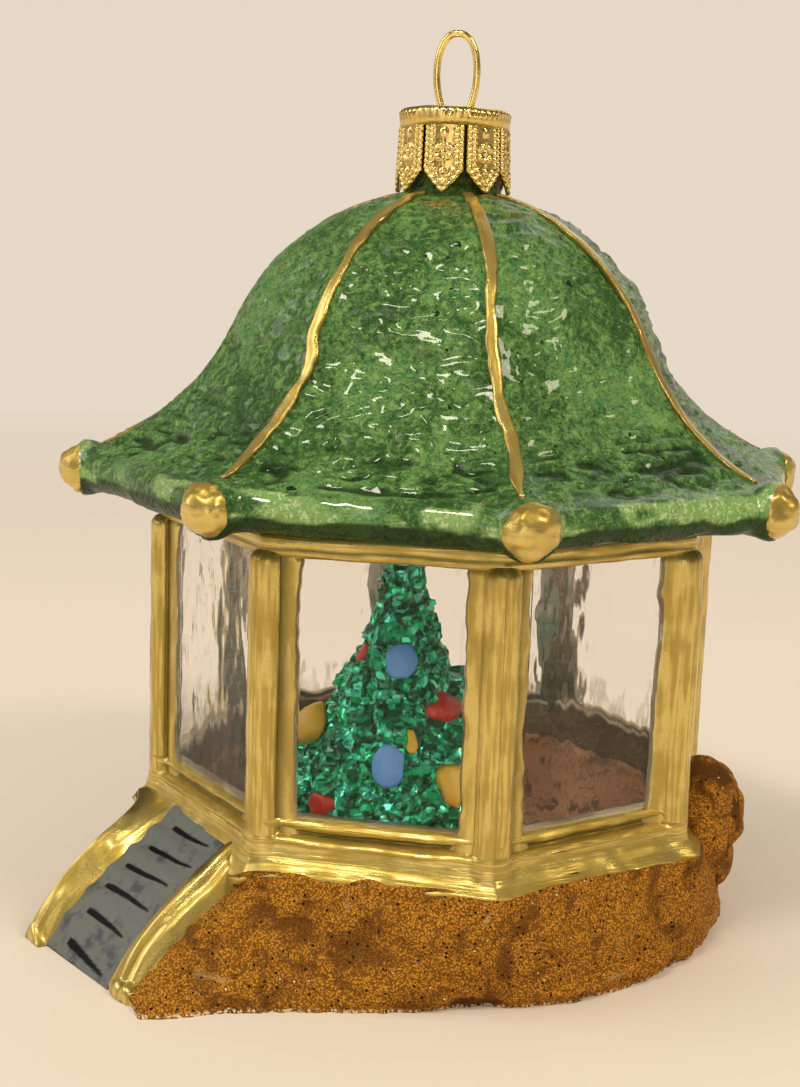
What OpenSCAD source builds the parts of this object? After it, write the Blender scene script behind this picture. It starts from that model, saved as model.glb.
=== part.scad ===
// Small blown-glass garden pavilion, made as a hanging decoration: an eight-sided glazed room under a
// bell-shaped roof, on a rough rock with a stair up to one side. Millimetres, +Z up. The origin is on
// the pavilion's axis, in the flat underside of the rock. The stair leads up towards +Y, from -Y.

/* [Rock] */
// Mean radius of the rock where it stands
rock_r = 32.4; // [31.5:0.1:36]
// Height of the rock under the plinth
rock_h = 11.4; // [9:0.1:14]
// Thickness of the rock's wall and bottom
rock_wall = 2; // [1.5:0.1:3]
// Height of the boulder against the right rear side, above the ground
boulder_top = 19.4; // [15:0.1:26]
// Radius of the mound of ground inside the rock
mound_r = 20; // [15:0.5:22]
// Height of that mound over the rock's bottom
mound_h = 3.6; // [2:0.1:6]

/* [Walls] */
// Radius of the circle through the corners of the glazed walls
wall_r = 29.3; // [27:0.1:30.5]
// Height of the glass
pane_h = 25.8; // [18:0.1:36]
// Thickness of the glass
glass_t = 1; // [0.8:0.1:1.6]
// Diameter of a corner column
post_d = 3.8; // [3:0.1:5]
// Width of the flat frame beside a column
frame_w = 1.3; // [0.8:0.1:2.5]
// Thickness of that frame
frame_t = 1.8; // [1.7:0.1:2.6]
// Height of the plinth between the rock and the sill
plinth_h = 2.8; // [1.8:0.1:4]
// Height of the sill under the glass
sill_h = 2.1; // [1.5:0.1:4]
// Height of the head rail over the glass
head_h = 2.3; // [1.6:0.1:4]

/* [Roof] */
// Radius of the circle through the roof's corners, at the middle of the rolled eave
eave_r = 37.2; // [34.5:0.1:42]
// Thickness of the rolled eave
eave_d = 4.2; // [3:0.1:5]
// Height of the eave's middle over the head rail
eave_rise = 3.1; // [2.9:0.1:6]
// Height of the roof, from the middle of the eave to the crown
roof_h = 29.4; // [24:0.1:36]
// Radius where the bell is steepest
waist_r = 23.4; // [22:0.1:25]
// Height of that place over the middle of the eave
waist_h = 15; // [13.5:0.1:16.5]
// Thickness of the roof's shell
roof_wall = 1.4; // [1:0.1:2]
// Width of a hip rib
rib_w = 1.3; // [0.8:0.1:2.5]
// How far a rib stands out of the roof
rib_t = 0.5; // [0.3:0.1:1]
// Diameter of the knob at each corner
knob_d = 5.8; // [5.4:0.1:7]

/* [Cap and loop] */
// Radius of the glass neck under the cap
neck_r = 4.8; // [4:0.1:5]
// Radius of the cap
cap_r = 5.8; // [5.5:0.05:6.5]
// Radius at the petals' lower ends
petal_r = 6.4; // [6.2:0.1:7.5]
// Height of the cap with its petals
cap_h = 8.7; // [7:0.1:11]
// Thickness of the cap's metal
cap_t = 0.45; // [0.3:0.05:0.6]
// Thickness of the loop's wire
wire_d = 0.75; // [0.6:0.05:1.2]
// Outer width of the loop
loop_w = 5; // [4:0.1:7]
// Height of the loop over the cap
loop_h = 8; // [6:0.1:12]

/* [Stair] */
// Width of the flight at the top
stair_w = 10; // [8:0.1:12]
// How much wider the flight is at its foot
stair_splay = 1.2; // [0:0.1:3]
// Distance of the flight's foot from the pavilion's axis
stair_reach = 42.4; // [40:0.1:50]
// Number of steps
steps = 7; // [5:1:9]
// Thickness of a side wall
cheek_w = 3; // [2:0.1:4]

/* [Tree] */
// Radius of the tree's lowest branches
tree_r = 13.6; // [10:0.1:15]
// Height of the tree's tip over the ground
tree_top = 40.5; // [30:0.1:41.5]
// Number of tiers of branches
tiers = 6; // [4:1:8]
// Diameter of a bauble
bauble_d = 4.2; // [3:0.1:5]

/* [Hidden] */

sides = 8;
half = 180 / sides;
// Circumradius of an octagon for each millimetre of its distance across half its flats
corner = 1 / cos(half);
eps = 0.01;
far = 200;

gold = "goldenrod";
lacquer = "darkgreen";

// Heights, from the ground up
z_plinth = rock_h;
z_sill = z_plinth + plinth_h;
z_pane = z_sill + sill_h;
z_head = z_pane + pane_h;
z_soffit = z_head + head_h;
z_eave = z_soffit + eave_rise;
z_crown = z_eave + roof_h;
z_cap = z_crown + cap_h;

// Distances from the axis to the middle of a flat side
wall_a = wall_r * cos(half);
frame_out = wall_a + frame_t / 2;
frame_in = wall_a - frame_t / 2;
// The rails over and under the glass are a little deeper than the frames
rail_in = frame_in - 0.3;
side_w = 2 * wall_r * sin(half);
pane_w = side_w - post_d - 2 * frame_w;
// How high the columns' round tops reach into the head rail
post_lap = 0.8;

// Azimuth of corner k or side k, from -Y towards +X, turned to OpenSCAD's angles
function corner_at(k) = -90 - half + 2 * half * (k - 1);
function side_at(k) = -90 + 2 * half * (k - 1);
function on_circle(r, a) = [r * cos(a), r * sin(a)];
// Points of an arc about c from angle a to angle b, ends included
function arc(c, r, a, b, n) = [for (i = [0 : n]) c + on_circle(r, a + (b - a) * i / n)];

// Bell profile in the plane of a hip: a dome above the waist and a cove below it, tangent to each
// other at the waist and to the rolled eave
waist_slope = 24;
waist_n = on_circle(1, waist_slope);
waist = [waist_r, z_eave + waist_h];
roll = eave_d / 2;
eave_c = [eave_r, z_eave];
to_crown = waist - [neck_r, z_crown];
dome_r = to_crown * to_crown / (2 * to_crown * waist_n);
dome_c = waist - dome_r * waist_n;
crown_v = [neck_r, z_crown] - dome_c;
crown_a = atan2(crown_v.y, crown_v.x);
to_eave = waist - eave_c;
cove_r = (to_eave * to_eave - roll * roll) / (2 * (roll - to_eave * waist_n));
cove_c = waist + cove_r * waist_n;
eave_v = cove_c - eave_c;
eave_a = atan2(eave_v.y, eave_v.x);

// Upper surface from distance r near the crown down to the eave's edge, moved out by g
function bell(g = 0, r = neck_r) = concat(
    arc(dome_c, dome_r + g, acos((r - dome_c.x) / (dome_r + g)), waist_slope, 14),
    arc(cove_c, cove_r - g, 180 + waist_slope, 180 + eave_a, 10));

// The hollow's cove ends this many degrees short of the eave
hollow_end = 12;
// Section of the roof's shell: upper surface, rolled eave, sloping underside, hollow
function roof_section() = concat(
    bell(),
    arc(eave_c, roll, eave_a, -90, 10),
    [[frame_out * corner, z_soffit], [rail_in * corner, z_soffit],
     [rail_in * corner, z_soffit + roof_wall], [eave_r - eave_d, z_eave - roll + roof_wall]],
    arc(cove_c, cove_r + roof_wall, 180 + eave_a - hollow_end, 180 + waist_slope, 8),
    arc(dome_c, dome_r - roof_wall, waist_slope, crown_a, 12),
    [[neck_r - roof_wall, z_crown]]);

// Solid of octagonal plan with the given section in the plane of a hip, and the first hip along +X
module hipped(section) rotate_extrude($fn = sides) polygon(section);
module octagon(section) rotate(-90 - half) hipped(section);

// Ring of octagonal plan between two distances from the axis
module octagon_ring(inner, outer, z0, z1)
    translate([0, 0, z0]) linear_extrude(z1 - z0) rotate(-90 - half) difference() {
        circle(outer * corner, $fn = sides);
        circle(inner * corner, $fn = sides);
    }

module column(k)
    translate([each on_circle(wall_r, corner_at(k)), z_sill])
        cylinder(h = z_head + post_lap - z_sill, d = post_d, $fn = 48);

function middle(ring) = [for (i = [0 : len(ring) - 1]) 1] * ring / len(ring);
// Closed skin of triangles over rings of points, all with the same number of points, in order
module loft(rings) {
    n = len(rings[0]);
    m = len(rings);
    polyhedron(
        points = concat([for (ring = rings) each ring], [middle(rings[0]), middle(rings[m - 1])]),
        faces = concat(
            [for (i = [0 : n - 1]) [i, (i + 1) % n, m * n]],
            [for (j = [0 : m - 2], i = [0 : n - 1], up = [0, 1]) let (
                a = j * n + i, b = a + n, c = (j + 1) * n + (i + 1) % n, d = c - n)
                up == 1 ? [a, b, c] : [a, c, d]],
            [for (i = [0 : n - 1]) let (top = (m - 1) * n) [top + (i + 1) % n, top + i, m * n + 1]]));
}

/* --- Roof --- */

// The shell has a socket at each corner for the gilded knob
module roof_shell() color(lacquer) difference() {
    octagon(roof_section());
    for (k = [1 : sides]) rotate(corner_at(k)) knob();
}

// Everything under the roof's upper surface, with the first hip along +X
module roof_mass() hipped(concat(
    [[0, z_crown]], bell(), arc(eave_c, roll, eave_a, -90, 10), [[0, z_eave - roll]]));
// A knob's middle lies just outside the middle of the rolled eave, and the gilding ends behind it
knob_at = eave_r + 0.8;
knob_back = eave_r - 1.4;
// A knob with the first hip along +X: a ball, cut off flat where the gilding ends
module knob() intersection() {
    translate([knob_at, 0, z_eave]) sphere(d = knob_d, $fn = 32);
    translate([knob_back, -knob_d, 0]) cube([far, 2 * knob_d, far]);
}
module eave_knob(k) color(gold) rotate(corner_at(k)) knob();

function reversed(list) = [for (i = [len(list) - 1 : -1 : 0]) list[i]];
// Distance from the axis at which a rib comes out from under the cap's petals
rib_start = petal_r + 0.2;

// A slab in the plane of a hip, with the roof and the knob cut out of it
module rib() difference() {
    rotate([90, 0, 0]) linear_extrude(rib_w, center = true)
        polygon(concat(bell(rib_t, rib_start), reversed(bell(-rib_t, rib_start))));
    roof_mass();
    knob();
}
module roof_ribs() color(gold) for (k = [1 : sides]) rotate(corner_at(k)) rib();

/* --- Cap and loop --- */

module glass_neck() color("darkolivegreen") translate([0, 0, z_crown]) difference() {
    cylinder(h = cap_h - cap_t, r = neck_r, $fn = 64);
    translate([0, 0, -eps]) cylinder(h = cap_h, r = neck_r - 1, $fn = 64);
}

shoulder = 0.65;
petal_h = 0.62 * cap_h;
// Share of the petals' height and flare at which their sides bend outwards
kink = 0.4;
kink_r = cap_r + kink * (petal_r - cap_r);
kink_z = z_crown + kink * petal_h;

// Section of the cap: flat top, round shoulder, straight side and flared petals
module crown_cap() color(gold) difference() {
    rotate_extrude($fn = 64) polygon(concat(
        [[0, z_cap], [cap_r - shoulder, z_cap]],
        arc([cap_r - shoulder, z_cap - shoulder], shoulder, 90, 0, 6),
        [[cap_r, z_crown + petal_h], [kink_r, kink_z], [petal_r, z_crown],
         [petal_r - cap_t, z_crown], [kink_r - cap_t, kink_z], [cap_r - cap_t, z_crown + petal_h]],
        arc([cap_r - shoulder, z_cap - shoulder], shoulder - cap_t, 0, 90, 6),
        [[0, z_cap - cap_t]]));
    for (k = [1 : sides]) rotate(side_at(k)) translate([0, 0, z_crown]) rotate([90, 0, 90])
        linear_extrude(far) polygon(petal_gap);
}
// Gap between two petals: a wide notch that leaves their pointed ends, and a narrow slit over it
notch_w = 3.8;
notch_h = 1.5;
slit_w = 0.3;
petal_gap = [[-notch_w / 2, -eps], [notch_w / 2, -eps], [slit_w / 2, notch_h], [slit_w / 2, petal_h],
    [-slit_w / 2, petal_h], [-slit_w / 2, notch_h]];

// Middle line of the loop's wire in its own plane: a pear, narrow where its legs meet the cap
loop_open = 35;
loop_low = (1 - cos(loop_open)) / 2;
// The largest value of sin a * cos(a / 2) is 4 / sqrt(27)
loop_u = (loop_w - wire_d) / 2 * sqrt(27) / 4;
function loop_at(a) = [loop_u * sin(a) * sqrt((1 + cos(a)) / 2),
    z_cap + (loop_h - wire_d / 2) * ((1 + cos(a)) / 2 - loop_low) / (1 - loop_low)];
loop_n = 36;
wire_n = 10;
loop_pts = [for (i = [0 : loop_n]) loop_at((180 - loop_open) * (2 * i / loop_n - 1))];
function unit(v) = v / norm(v);
function loop_way(i) = i == 0 ? [0, 1] : i == loop_n ? [0, -1] : unit(loop_pts[i + 1] - loop_pts[i - 1]);
function loop_ring(i) = let (p = loop_pts[i], t = loop_way(i))
    [for (j = [0 : wire_n - 1]) let (a = 360 * j / wire_n, c = wire_d / 2 * cos(a))
        [p.x + c * t.y, wire_d / 2 * sin(a), p.y - c * t.x]];

module hanger_loop() color(gold) rotate(side_at(2) + 90)
    loft([for (i = [0 : loop_n]) loop_ring(i)]);

/* --- Walls --- */

head_lip = 0.2;
module head_rail() color(gold) difference() {
    octagon_ring(rail_in, frame_out + head_lip, z_head, z_soffit);
    for (k = [1 : sides]) column(k);
}

// A round column on a corner, with a flat strip of frame along each of the two sides that meet there
module corner_post(k) color(gold) {
    column(k);
    frame_strip(side_at(k), -1);
    frame_strip(side_at(k - 1), 1);
}

// The strip from the edge of the glass into the column, at either end of the side at angle a
module frame_strip(a, end) rotate(a)
    translate([wall_a, end * (pane_w + frame_w + post_d / 4) / 2, z_pane + pane_h / 2])
        cube([frame_t, frame_w + post_d / 4, pane_h], center = true);

module glass_pane(k) color("azure", 0.3) rotate(side_at(k))
    translate([wall_a - glass_t / 2, -pane_w / 2, z_pane]) cube([glass_t, pane_w, pane_h]);

sill_out = frame_out + 0.7;
bead = 0.5;
groove = 1;
// Between the columns: a rounded bead under the glass and a hollow groove below it
module sill_rail() color(gold) difference() {
    octagon(concat(
        [[rail_in * corner, z_sill], [rail_in * corner, z_pane], [sill_out * corner - bead, z_pane]],
        arc([sill_out * corner - bead, z_pane - bead], bead, 90, -60, 6),
        [[sill_out * corner - groove, z_pane - groove], [sill_out * corner - groove / 2, z_sill]]));
    for (k = [1 : sides]) column(k);
}

plinth_out = sill_out + 1.9;
plinth_in = rail_in - 0.3;
// How far the plinth's edge draws in towards the sill, as a quarter of an ellipse
swell = 1.4;
plinth_edge = [for (a = [90 : -30 : 0])
    [(plinth_out - swell + swell * cos(a)) * corner, z_plinth + plinth_h * sin(a)]];
// Section of the swelling band between the rock and the sill, from distance r outwards
function plinth_section(r) = concat([[r * corner, z_plinth], [r * corner, z_sill]], plinth_edge);
module plinth_band() color(gold) octagon(plinth_section(plinth_in));
module plinth_mass() octagon(plinth_section(0));

/* --- Rock and stair --- */

// Azimuth from the middle of the stair, from -180 to 180, positive towards +X
function azimuth(a) = let (b = (a + 90 + 720) % 360) b > 180 ? b - 360 : b;
function octagon_r(b, apothem) = apothem / cos((b + half + 720) % (2 * half) - half);

// The flight starts a little over the rock's top, and under the plinth's edge
stair_top = z_plinth + 0.6;
stair_start = plinth_out - 1.7;
stair_run = stair_reach - stair_start;
// The flight's fall steepens towards its foot: 1 would be even
stair_bend = 1.35;
// Height of the flight at distance y from the axis, and the distance at which it has height z
function flight_z(y) = stair_top * (1 - pow(max(0, (y - stair_start) / stair_run), stair_bend));
function flight_y(z) = stair_start + stair_run * pow(1 - z / stair_top, 1 / stair_bend);
function flight_half(y) = stair_w / 2 + stair_splay / 2 * (y - stair_start) / stair_run;

// The rock swells around the stair: to the left close to its wall, and to the right as a long slope,
// which faces azimuth slope_n at distance slope_r and turns and draws in towards its top
slope_n = 65;
slope_turn = 20;
slope_r = 31.9;
slope_in = 1.3;
left_x = stair_w / 2 + cheek_w + 1.2;
foot_gap = 0.3;
// How far the slope on the right lies below the flight
side_drop = 2;
function spur_r(b, z) = let (w = z / rock_h, level = min(stair_top, z + (b > 0 ? side_drop : 0)),
        front = (flight_y(level) + foot_gap) / cos(min(abs(b), 60)))
    b < 0 ? min(front, left_x / sin(min(max(-b, 1), 90)))
        : min(front, (slope_r - slope_in * w) / cos(max(0, slope_n - slope_turn * w - b)));
// Long and short waves around the rock, strongest at half its height
function lump(b, z) = (0.5 * sin(3 * b + 40) + 0.35 * sin(7 * b + 10)) * (0.3 + sin(180 * z / rock_h));
function rock_at(b, z) = let (w = pow(z / rock_h, 2))
    max((rock_r + lump(b, z)) * (1 - w) + octagon_r(b, plinth_out) * w, spur_r(b, z));
rock_n = 72;
rock_rings = 8;
function rock_ring(z) = [for (i = [0 : rock_n - 1]) let (a = 360 * i / rock_n)
    [each on_circle(rock_at(azimuth(a), z), a), z]];

module rock_mass() loft([for (i = [0 : rock_rings]) rock_ring(rock_h * i / rock_rings)]);

// The rock is hollow, and open upwards into the room
module rock_base() color("peru") difference() {
    rock_mass();
    translate([0, 0, rock_wall]) linear_extrude(rock_h) rotate(-90 - half)
        circle((plinth_in - 0.3) * corner, $fn = sides);
    stair_plan(cheek_w);
}

// Side view of the flight: sloping treads, each with a low lip down to the next
step_lip = 0.4;
function step_y(i) = stair_start + stair_run * i / steps;
flight_side = concat(
    [[stair_start, 0], [stair_start, stair_top]],
    [for (i = [1 : steps], lip = [step_lip, 0]) [step_y(i), flight_z(step_y(i)) + lip]]);
// The foot lies a little towards +X
stair_turn = 2;

module flight_mass() intersection() {
    rotate([90, 0, stair_turn - 90]) linear_extrude(far, center = true) polygon(flight_side);
    stair_plan(0);
}
// Everything over the plan of the flight and of side walls that are wall wide
module stair_plan(wall) rotate(stair_turn) linear_extrude(far) polygon([
    for (end = [[-1, stair_start], [-1, stair_reach + 5], [1, stair_reach + 5], [1, stair_start]])
        [end[0] * (flight_half(end[1]) + wall), -end[1]]]);
module stair_flight() color("slategray") difference() {
    flight_mass();
    plinth_mass();
}

// Side walls, each as [side, height at the top, reach past the flight's foot, bend, fall], where the
// height at share s of the length goes with (1 - s^bend)^fall
left_wall = [-1, stair_top + 0.7, 2, 1.9, 0.62];
right_wall = [1, stair_top + 1.1, 0.8, 1.5, 1];
wall_rings = 14;
wall_least = 0.3;
// Section of a side wall at share s of its length: upright sides and a round top
function wall_ring(w, s) = let (
    y = stair_start + (stair_run + w[2]) * s,
    x = w[0] * (flight_half(y) + cheek_w / 2),
    z = max(w[1] * pow(1 - pow(s, w[3]), w[4]), wall_least),
    cap = min(cheek_w / 2, z - wall_least / 3))
    concat([[x - cheek_w / 2, -y, 0], [x + cheek_w / 2, -y, 0]],
        [for (i = [0 : 8]) [x + cheek_w / 2 * cos(22.5 * i), -y, z - cap + cap * sin(22.5 * i)]]);
module stair_wall(w) rotate(stair_turn)
    loft([for (i = [0 : wall_rings]) wall_ring(w, sin(90 * i / wall_rings))]);
module stair_wall_left() color(gold) difference() {
    stair_wall(left_wall);
    plinth_mass();
}
module stair_wall_right() color(gold) difference() {
    stair_wall(right_wall);
    plinth_mass();
}

// Lobes of the boulder, each as [azimuth, distance from the axis, height, radius]
boulder_tip = 3.9;
boulder_lobes = [[133, 30.6, 12.2, 4.4], [124, 30.2, 11, 3.4], [143, 30.2, 11, 3.5],
    [130, 29.6, boulder_top - boulder_tip, boulder_tip], [138, 30, boulder_top - 4.9, 3.6]];
// Below this height the boulder is cut only by the rock that it grows out of
boulder_foot = z_plinth - 1.5;
module rock_boulder() color("sienna") difference() {
    hull() for (b = boulder_lobes)
        translate([each on_circle(b[1], b[0] - 90), b[2]]) sphere(r = b[3], $fn = 24);
    rock_mass();
    octagon(concat([[0, boulder_foot], [plinth_out * corner - 0.3, boulder_foot]],
        reversed([for (i = [2 : 5]) plinth_section(0)[i]]),
        [[sill_out * corner + 0.1, z_sill], [sill_out * corner + 0.1, z_head], [0, z_head]]));
}

z_mound = rock_wall + mound_h;
module inner_mound() color("saddlebrown") rotate_extrude($fn = 72) polygon([
    [0, rock_wall], [mound_r, rock_wall], [mound_r, rock_wall + 0.4 * mound_h],
    [0.9 * mound_r, rock_wall + 0.75 * mound_h], [0.65 * mound_r, z_mound], [0, z_mound]]);

/* --- Tree --- */

tree_x = -2.1;
tree_y = -3;
tree_h = tree_top - z_mound;
tip_r = 0.5;
// Radius of the tree's branches at share t of its height: a full foot that draws in to a thin top
tree_shape = [[0, 1], [0.12, 0.95], [0.32, 0.82], [0.48, 0.56], [0.59, 0.4], [0.78, 0.19], [1, 0]];
function tree_at(t) = tip_r + (tree_r - tip_r) * lookup(t, tree_shape);
// Each tier draws in to this share of the radius of the next one, which hangs down over it
tuck = 0.85;
droop = 0.4;
tree_side = concat(
    [[0, z_mound], [tree_at(0), z_mound]],
    [for (i = [1 : tiers - 1]) let (r = tree_at(i / tiers), z = z_mound + tree_h * i / tiers)
        each [[tuck * r, z + droop], [r, z]]],
    [[tip_r, tree_top], [0, tree_top]]);
module tree() color("seagreen") translate([tree_x, tree_y, 0])
    rotate_extrude($fn = 72) polygon(tree_side);

// Baubles, each as [azimuth, distance from the tree's middle, height, share of bauble_d]
blue = [[57, 5.1, 27.3, 0.9], [52, 10.2, 17.5, 0.9], [224, 5.8, 25.8, 0.9], [215, 10.1, 16, 0.9]];
red = [[97, 7.3, 22.6, 0.9], [18, 12, 12.1, 0.95], [-4, 4.9, 27.6, 0.5], [268, 7.5, 22, 0.9],
    [175, 11.1, 14.5, 0.9]];
yellow = [[-22, 9.5, 19.8, 1], [90, 10.7, 15, 0.9], [146, 8.9, 20, 1], [262, 11.1, 14, 0.9]];
module baubles(list) difference() {
    for (b = list) translate([tree_x, tree_y, b[2]] + [each on_circle(b[1], b[0] - 90), 0])
        sphere(d = b[3] * bauble_d, $fn = 32);
    tree();
}

hanger_loop();
crown_cap();
glass_neck();
roof_shell();
roof_ribs();
eave_knob(1);  // eave_knob_1
eave_knob(2);  // eave_knob_2
eave_knob(3);  // eave_knob_3
eave_knob(4);  // eave_knob_4
eave_knob(5);  // eave_knob_5
eave_knob(6);  // eave_knob_6
eave_knob(7);  // eave_knob_7
eave_knob(8);  // eave_knob_8
head_rail();
corner_post(1);  // corner_post_1
corner_post(2);  // corner_post_2
corner_post(3);  // corner_post_3
corner_post(4);  // corner_post_4
corner_post(5);  // corner_post_5
corner_post(6);  // corner_post_6
corner_post(7);  // corner_post_7
corner_post(8);  // corner_post_8
glass_pane(1);  // glass_pane_1
glass_pane(2);  // glass_pane_2
glass_pane(3);  // glass_pane_3
glass_pane(4);  // glass_pane_4
glass_pane(5);  // glass_pane_5
glass_pane(6);  // glass_pane_6
glass_pane(7);  // glass_pane_7
glass_pane(8);  // glass_pane_8
sill_rail();
plinth_band();
rock_base();
rock_boulder();
inner_mound();
stair_flight();
stair_wall_left();
stair_wall_right();
tree();
color("cornflowerblue") baubles(blue);  // baubles_blue
color("firebrick") baubles(red);  // baubles_red
color("goldenrod") baubles(yellow);  // baubles_yellow
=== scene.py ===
"""Looks of a blown-glass garden pavilion that hangs by a cap and a wire loop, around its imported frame."""

import itertools
import math

import bpy
import numpy as np
from bpy.props import FloatProperty, FloatVectorProperty, IntProperty, PointerProperty
from mathutils import Matrix, Vector


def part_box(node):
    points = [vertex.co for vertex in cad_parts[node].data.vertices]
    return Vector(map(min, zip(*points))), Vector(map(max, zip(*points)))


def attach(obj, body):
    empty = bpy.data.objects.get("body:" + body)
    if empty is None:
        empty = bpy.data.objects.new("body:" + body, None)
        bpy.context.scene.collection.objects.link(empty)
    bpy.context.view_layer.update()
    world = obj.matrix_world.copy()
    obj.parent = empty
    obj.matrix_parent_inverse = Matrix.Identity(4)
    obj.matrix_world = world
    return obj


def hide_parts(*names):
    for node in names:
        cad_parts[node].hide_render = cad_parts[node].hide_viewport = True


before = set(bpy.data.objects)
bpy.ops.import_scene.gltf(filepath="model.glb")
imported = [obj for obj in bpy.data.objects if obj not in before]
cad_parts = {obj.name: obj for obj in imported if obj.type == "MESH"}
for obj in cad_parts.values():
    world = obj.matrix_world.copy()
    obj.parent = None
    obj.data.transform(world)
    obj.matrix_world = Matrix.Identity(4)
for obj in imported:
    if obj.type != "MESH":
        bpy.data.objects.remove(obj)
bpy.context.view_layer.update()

bl_info = {
    "name": "Glass Pavilion Ornament",
    "version": (1, 0, 0),
    "blender": (4, 5, 0),
    "location": "View3D > Sidebar > Pavilion",
    "description": "Builds the painted glass, gilding, sand and metal of a hanging pavilion ornament",
    "category": "Add Mesh",
}

MM = 0.001
SIDES = 8
HALF = math.pi / SIDES


# ---------------------------------------------------------------- places, in millimetres, from the frame

def span(node, axis):
    """Lowest and highest coordinate of a CAD node along one axis."""
    low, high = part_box(node)
    return low[axis] / MM, high[axis] / MM


def corner_azimuth(k):
    """Azimuth of corner k, from -Y towards +X."""
    return HALF * (2 * (k - 1) - 1)


def side_azimuth(k):
    """Azimuth of the middle of side k."""
    return 2 * HALF * (k - 1)


PLINTH_Z, SILL_Z = span("plinth_band", 2)
PANE_Z, HEAD_Z = span("glass_pane_1", 2)
SOFFIT_Z = span("head_rail", 2)[1]
CROWN_Z = span("roof_shell", 2)[1]
CAP_Z = span("crown_cap", 2)[1]
LOOP_Z = span("hanger_loop", 2)[1]
POST_Z = span("corner_post_1", 2)[1]
WALL_A = -sum(span("glass_pane_1", 1)) / 2
WALL_R = WALL_A / math.cos(HALF)
GLASS_T = span("glass_pane_1", 1)[1] - span("glass_pane_1", 1)[0]
PANE_HALF = span("glass_pane_1", 0)[1]
RAIL_OUT = span("head_rail", 0)[1]
RAIL_IN = WALL_A - 1.2
SILL_OUT = span("sill_rail", 0)[1]
PLINTH_OUT = span("plinth_band", 0)[1]
KNOB_R = (span("eave_knob_3", 2)[1] - span("eave_knob_3", 2)[0]) / 2
EAVE_Z = sum(span("eave_knob_3", 2)) / 2
KNOB_AT = (span("eave_knob_3", 0)[1] - KNOB_R) / math.sin(corner_azimuth(3))
NECK_R = span("glass_neck", 0)[1]
PETAL_R = span("crown_cap", 0)[1]
TREE_AT = np.array([sum(span("tree", 0)) / 2, sum(span("tree", 1)) / 2, 0])
TREE_R = (span("tree", 0)[1] - span("tree", 0)[0]) / 2
TREE_LOW, TREE_TOP = span("tree", 2)
MOUND_LOW, MOUND_TOP = span("inner_mound", 2)
MOUND_R = span("inner_mound", 0)[1]
STAIR_REACH = -span("stair_flight", 1)[0]
LEFT_REACH = -span("stair_wall_left", 1)[0]
LEFT_TOP = span("stair_wall_left", 2)[1]
RIGHT_TOP = span("stair_wall_right", 2)[1]
BOULDER_TOP = span("rock_boulder", 2)[1]
STAIR_TURN = math.radians(2)  # how far the stair is turned towards +X
SIDE_DROP = 2.0  # how far the sand lies under the flight on its right
STAIR_TOP = PLINTH_Z + 0.6
STAIR_START = PLINTH_OUT - 1.7
STAIR_RUN = STAIR_REACH - STAIR_START


# ---------------------------------------------------------------- noise

TABLES = {}


def table(seed, width):
    """Random numbers from 0 to 1 on a 32 x 32 x 32 lattice, width of them at each point."""
    if (seed, width) not in TABLES:
        TABLES[seed, width] = np.random.default_rng(seed).random((32, 32, 32, width))
    return TABLES[seed, width]


def at(lattice, cell):
    """Values of a repeating lattice at whole-numbered cells."""
    i, j, k = np.moveaxis(cell & 31, -1, 0)
    return lattice[i, j, k]


def noise(points, size, seed=1):
    """Smooth noise from -1 to 1: lattice values blended with a fifth-order fade, size apart."""
    q = points / size
    cell = np.floor(q).astype(int)
    f = q - cell
    f = f ** 3 * (f * (f * 6 - 15) + 10)
    total = np.zeros(points.shape[:-1])
    for step in itertools.product((0, 1), repeat=3):
        weight = np.prod(np.where(step, f, 1 - f), axis=-1)
        total += weight * at(table(seed, 1), cell + np.array(step))[..., 0]
    return 2 * total - 1


def fractal(points, size, seed=1, octaves=3):
    """Sum of noises, each half as large and half as strong as the one before."""
    return sum(noise(points, size / 2 ** i, seed + i) / 2 ** i for i in range(octaves))


def facets(points, size, seed=1):
    """Crumple: each point takes the height of the nearest of a set of scattered, tilted planes.
    Returns that height, about -1 to 1, and the share of the way from the cell's middle to its edge."""
    q = points / size
    cell = np.floor(q).astype(int)
    best = np.full(points.shape[:-1], 9.0)
    second = best.copy()
    height = np.zeros_like(best)
    for step in itertools.product((-1, 0, 1), repeat=3):
        near = cell + np.array(step)
        away = q - near - at(table(seed, 3), near)
        distance = np.sqrt((away ** 2).sum(-1))
        tilt = at(table(seed + 50, 4), near) * 2 - 1
        plane = tilt[..., 3] * 0.6 + (tilt[..., :3] * away).sum(-1)
        closer = distance < best
        second = np.where(closer, best, np.minimum(second, distance))
        height = np.where(closer, plane, height)
        best = np.minimum(best, distance)
    return height, best / second


def smooth(value, low, high):
    """Share from 0 to 1 of the way from low to high, eased at both ends."""
    t = np.clip((value - low) / (high - low), 0, 1)
    return t * t * (3 - 2 * t)


# ---------------------------------------------------------------- surfaces

def together(*coordinates):
    """Points from coordinates that are spread over each other."""
    return np.stack(np.broadcast_arrays(*coordinates), axis=-1)


def polar(radius, azimuth, z):
    """Points at a distance and azimuth about the pavilion's axis, and a height."""
    return together(radius * np.sin(azimuth), -radius * np.cos(azimuth), z)


def directions(azimuth):
    """Unit vectors straight out at an azimuth, and sideways, towards higher azimuths."""
    return (np.array([math.sin(azimuth), -math.cos(azimuth), 0]),
            np.array([math.cos(azimuth), math.sin(azimuth), 0]))


def octagon(azimuth, apothem):
    """Distance to an octagon's edge: its apothem over the cosine of the angle from the nearest side's
    middle."""
    return apothem / np.cos((azimuth + HALF) % (2 * HALF) - HALF)


def ring(count):
    """Azimuths all the way round, starting at the rear."""
    return math.pi + np.arange(count) * 2 * math.pi / count


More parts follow.
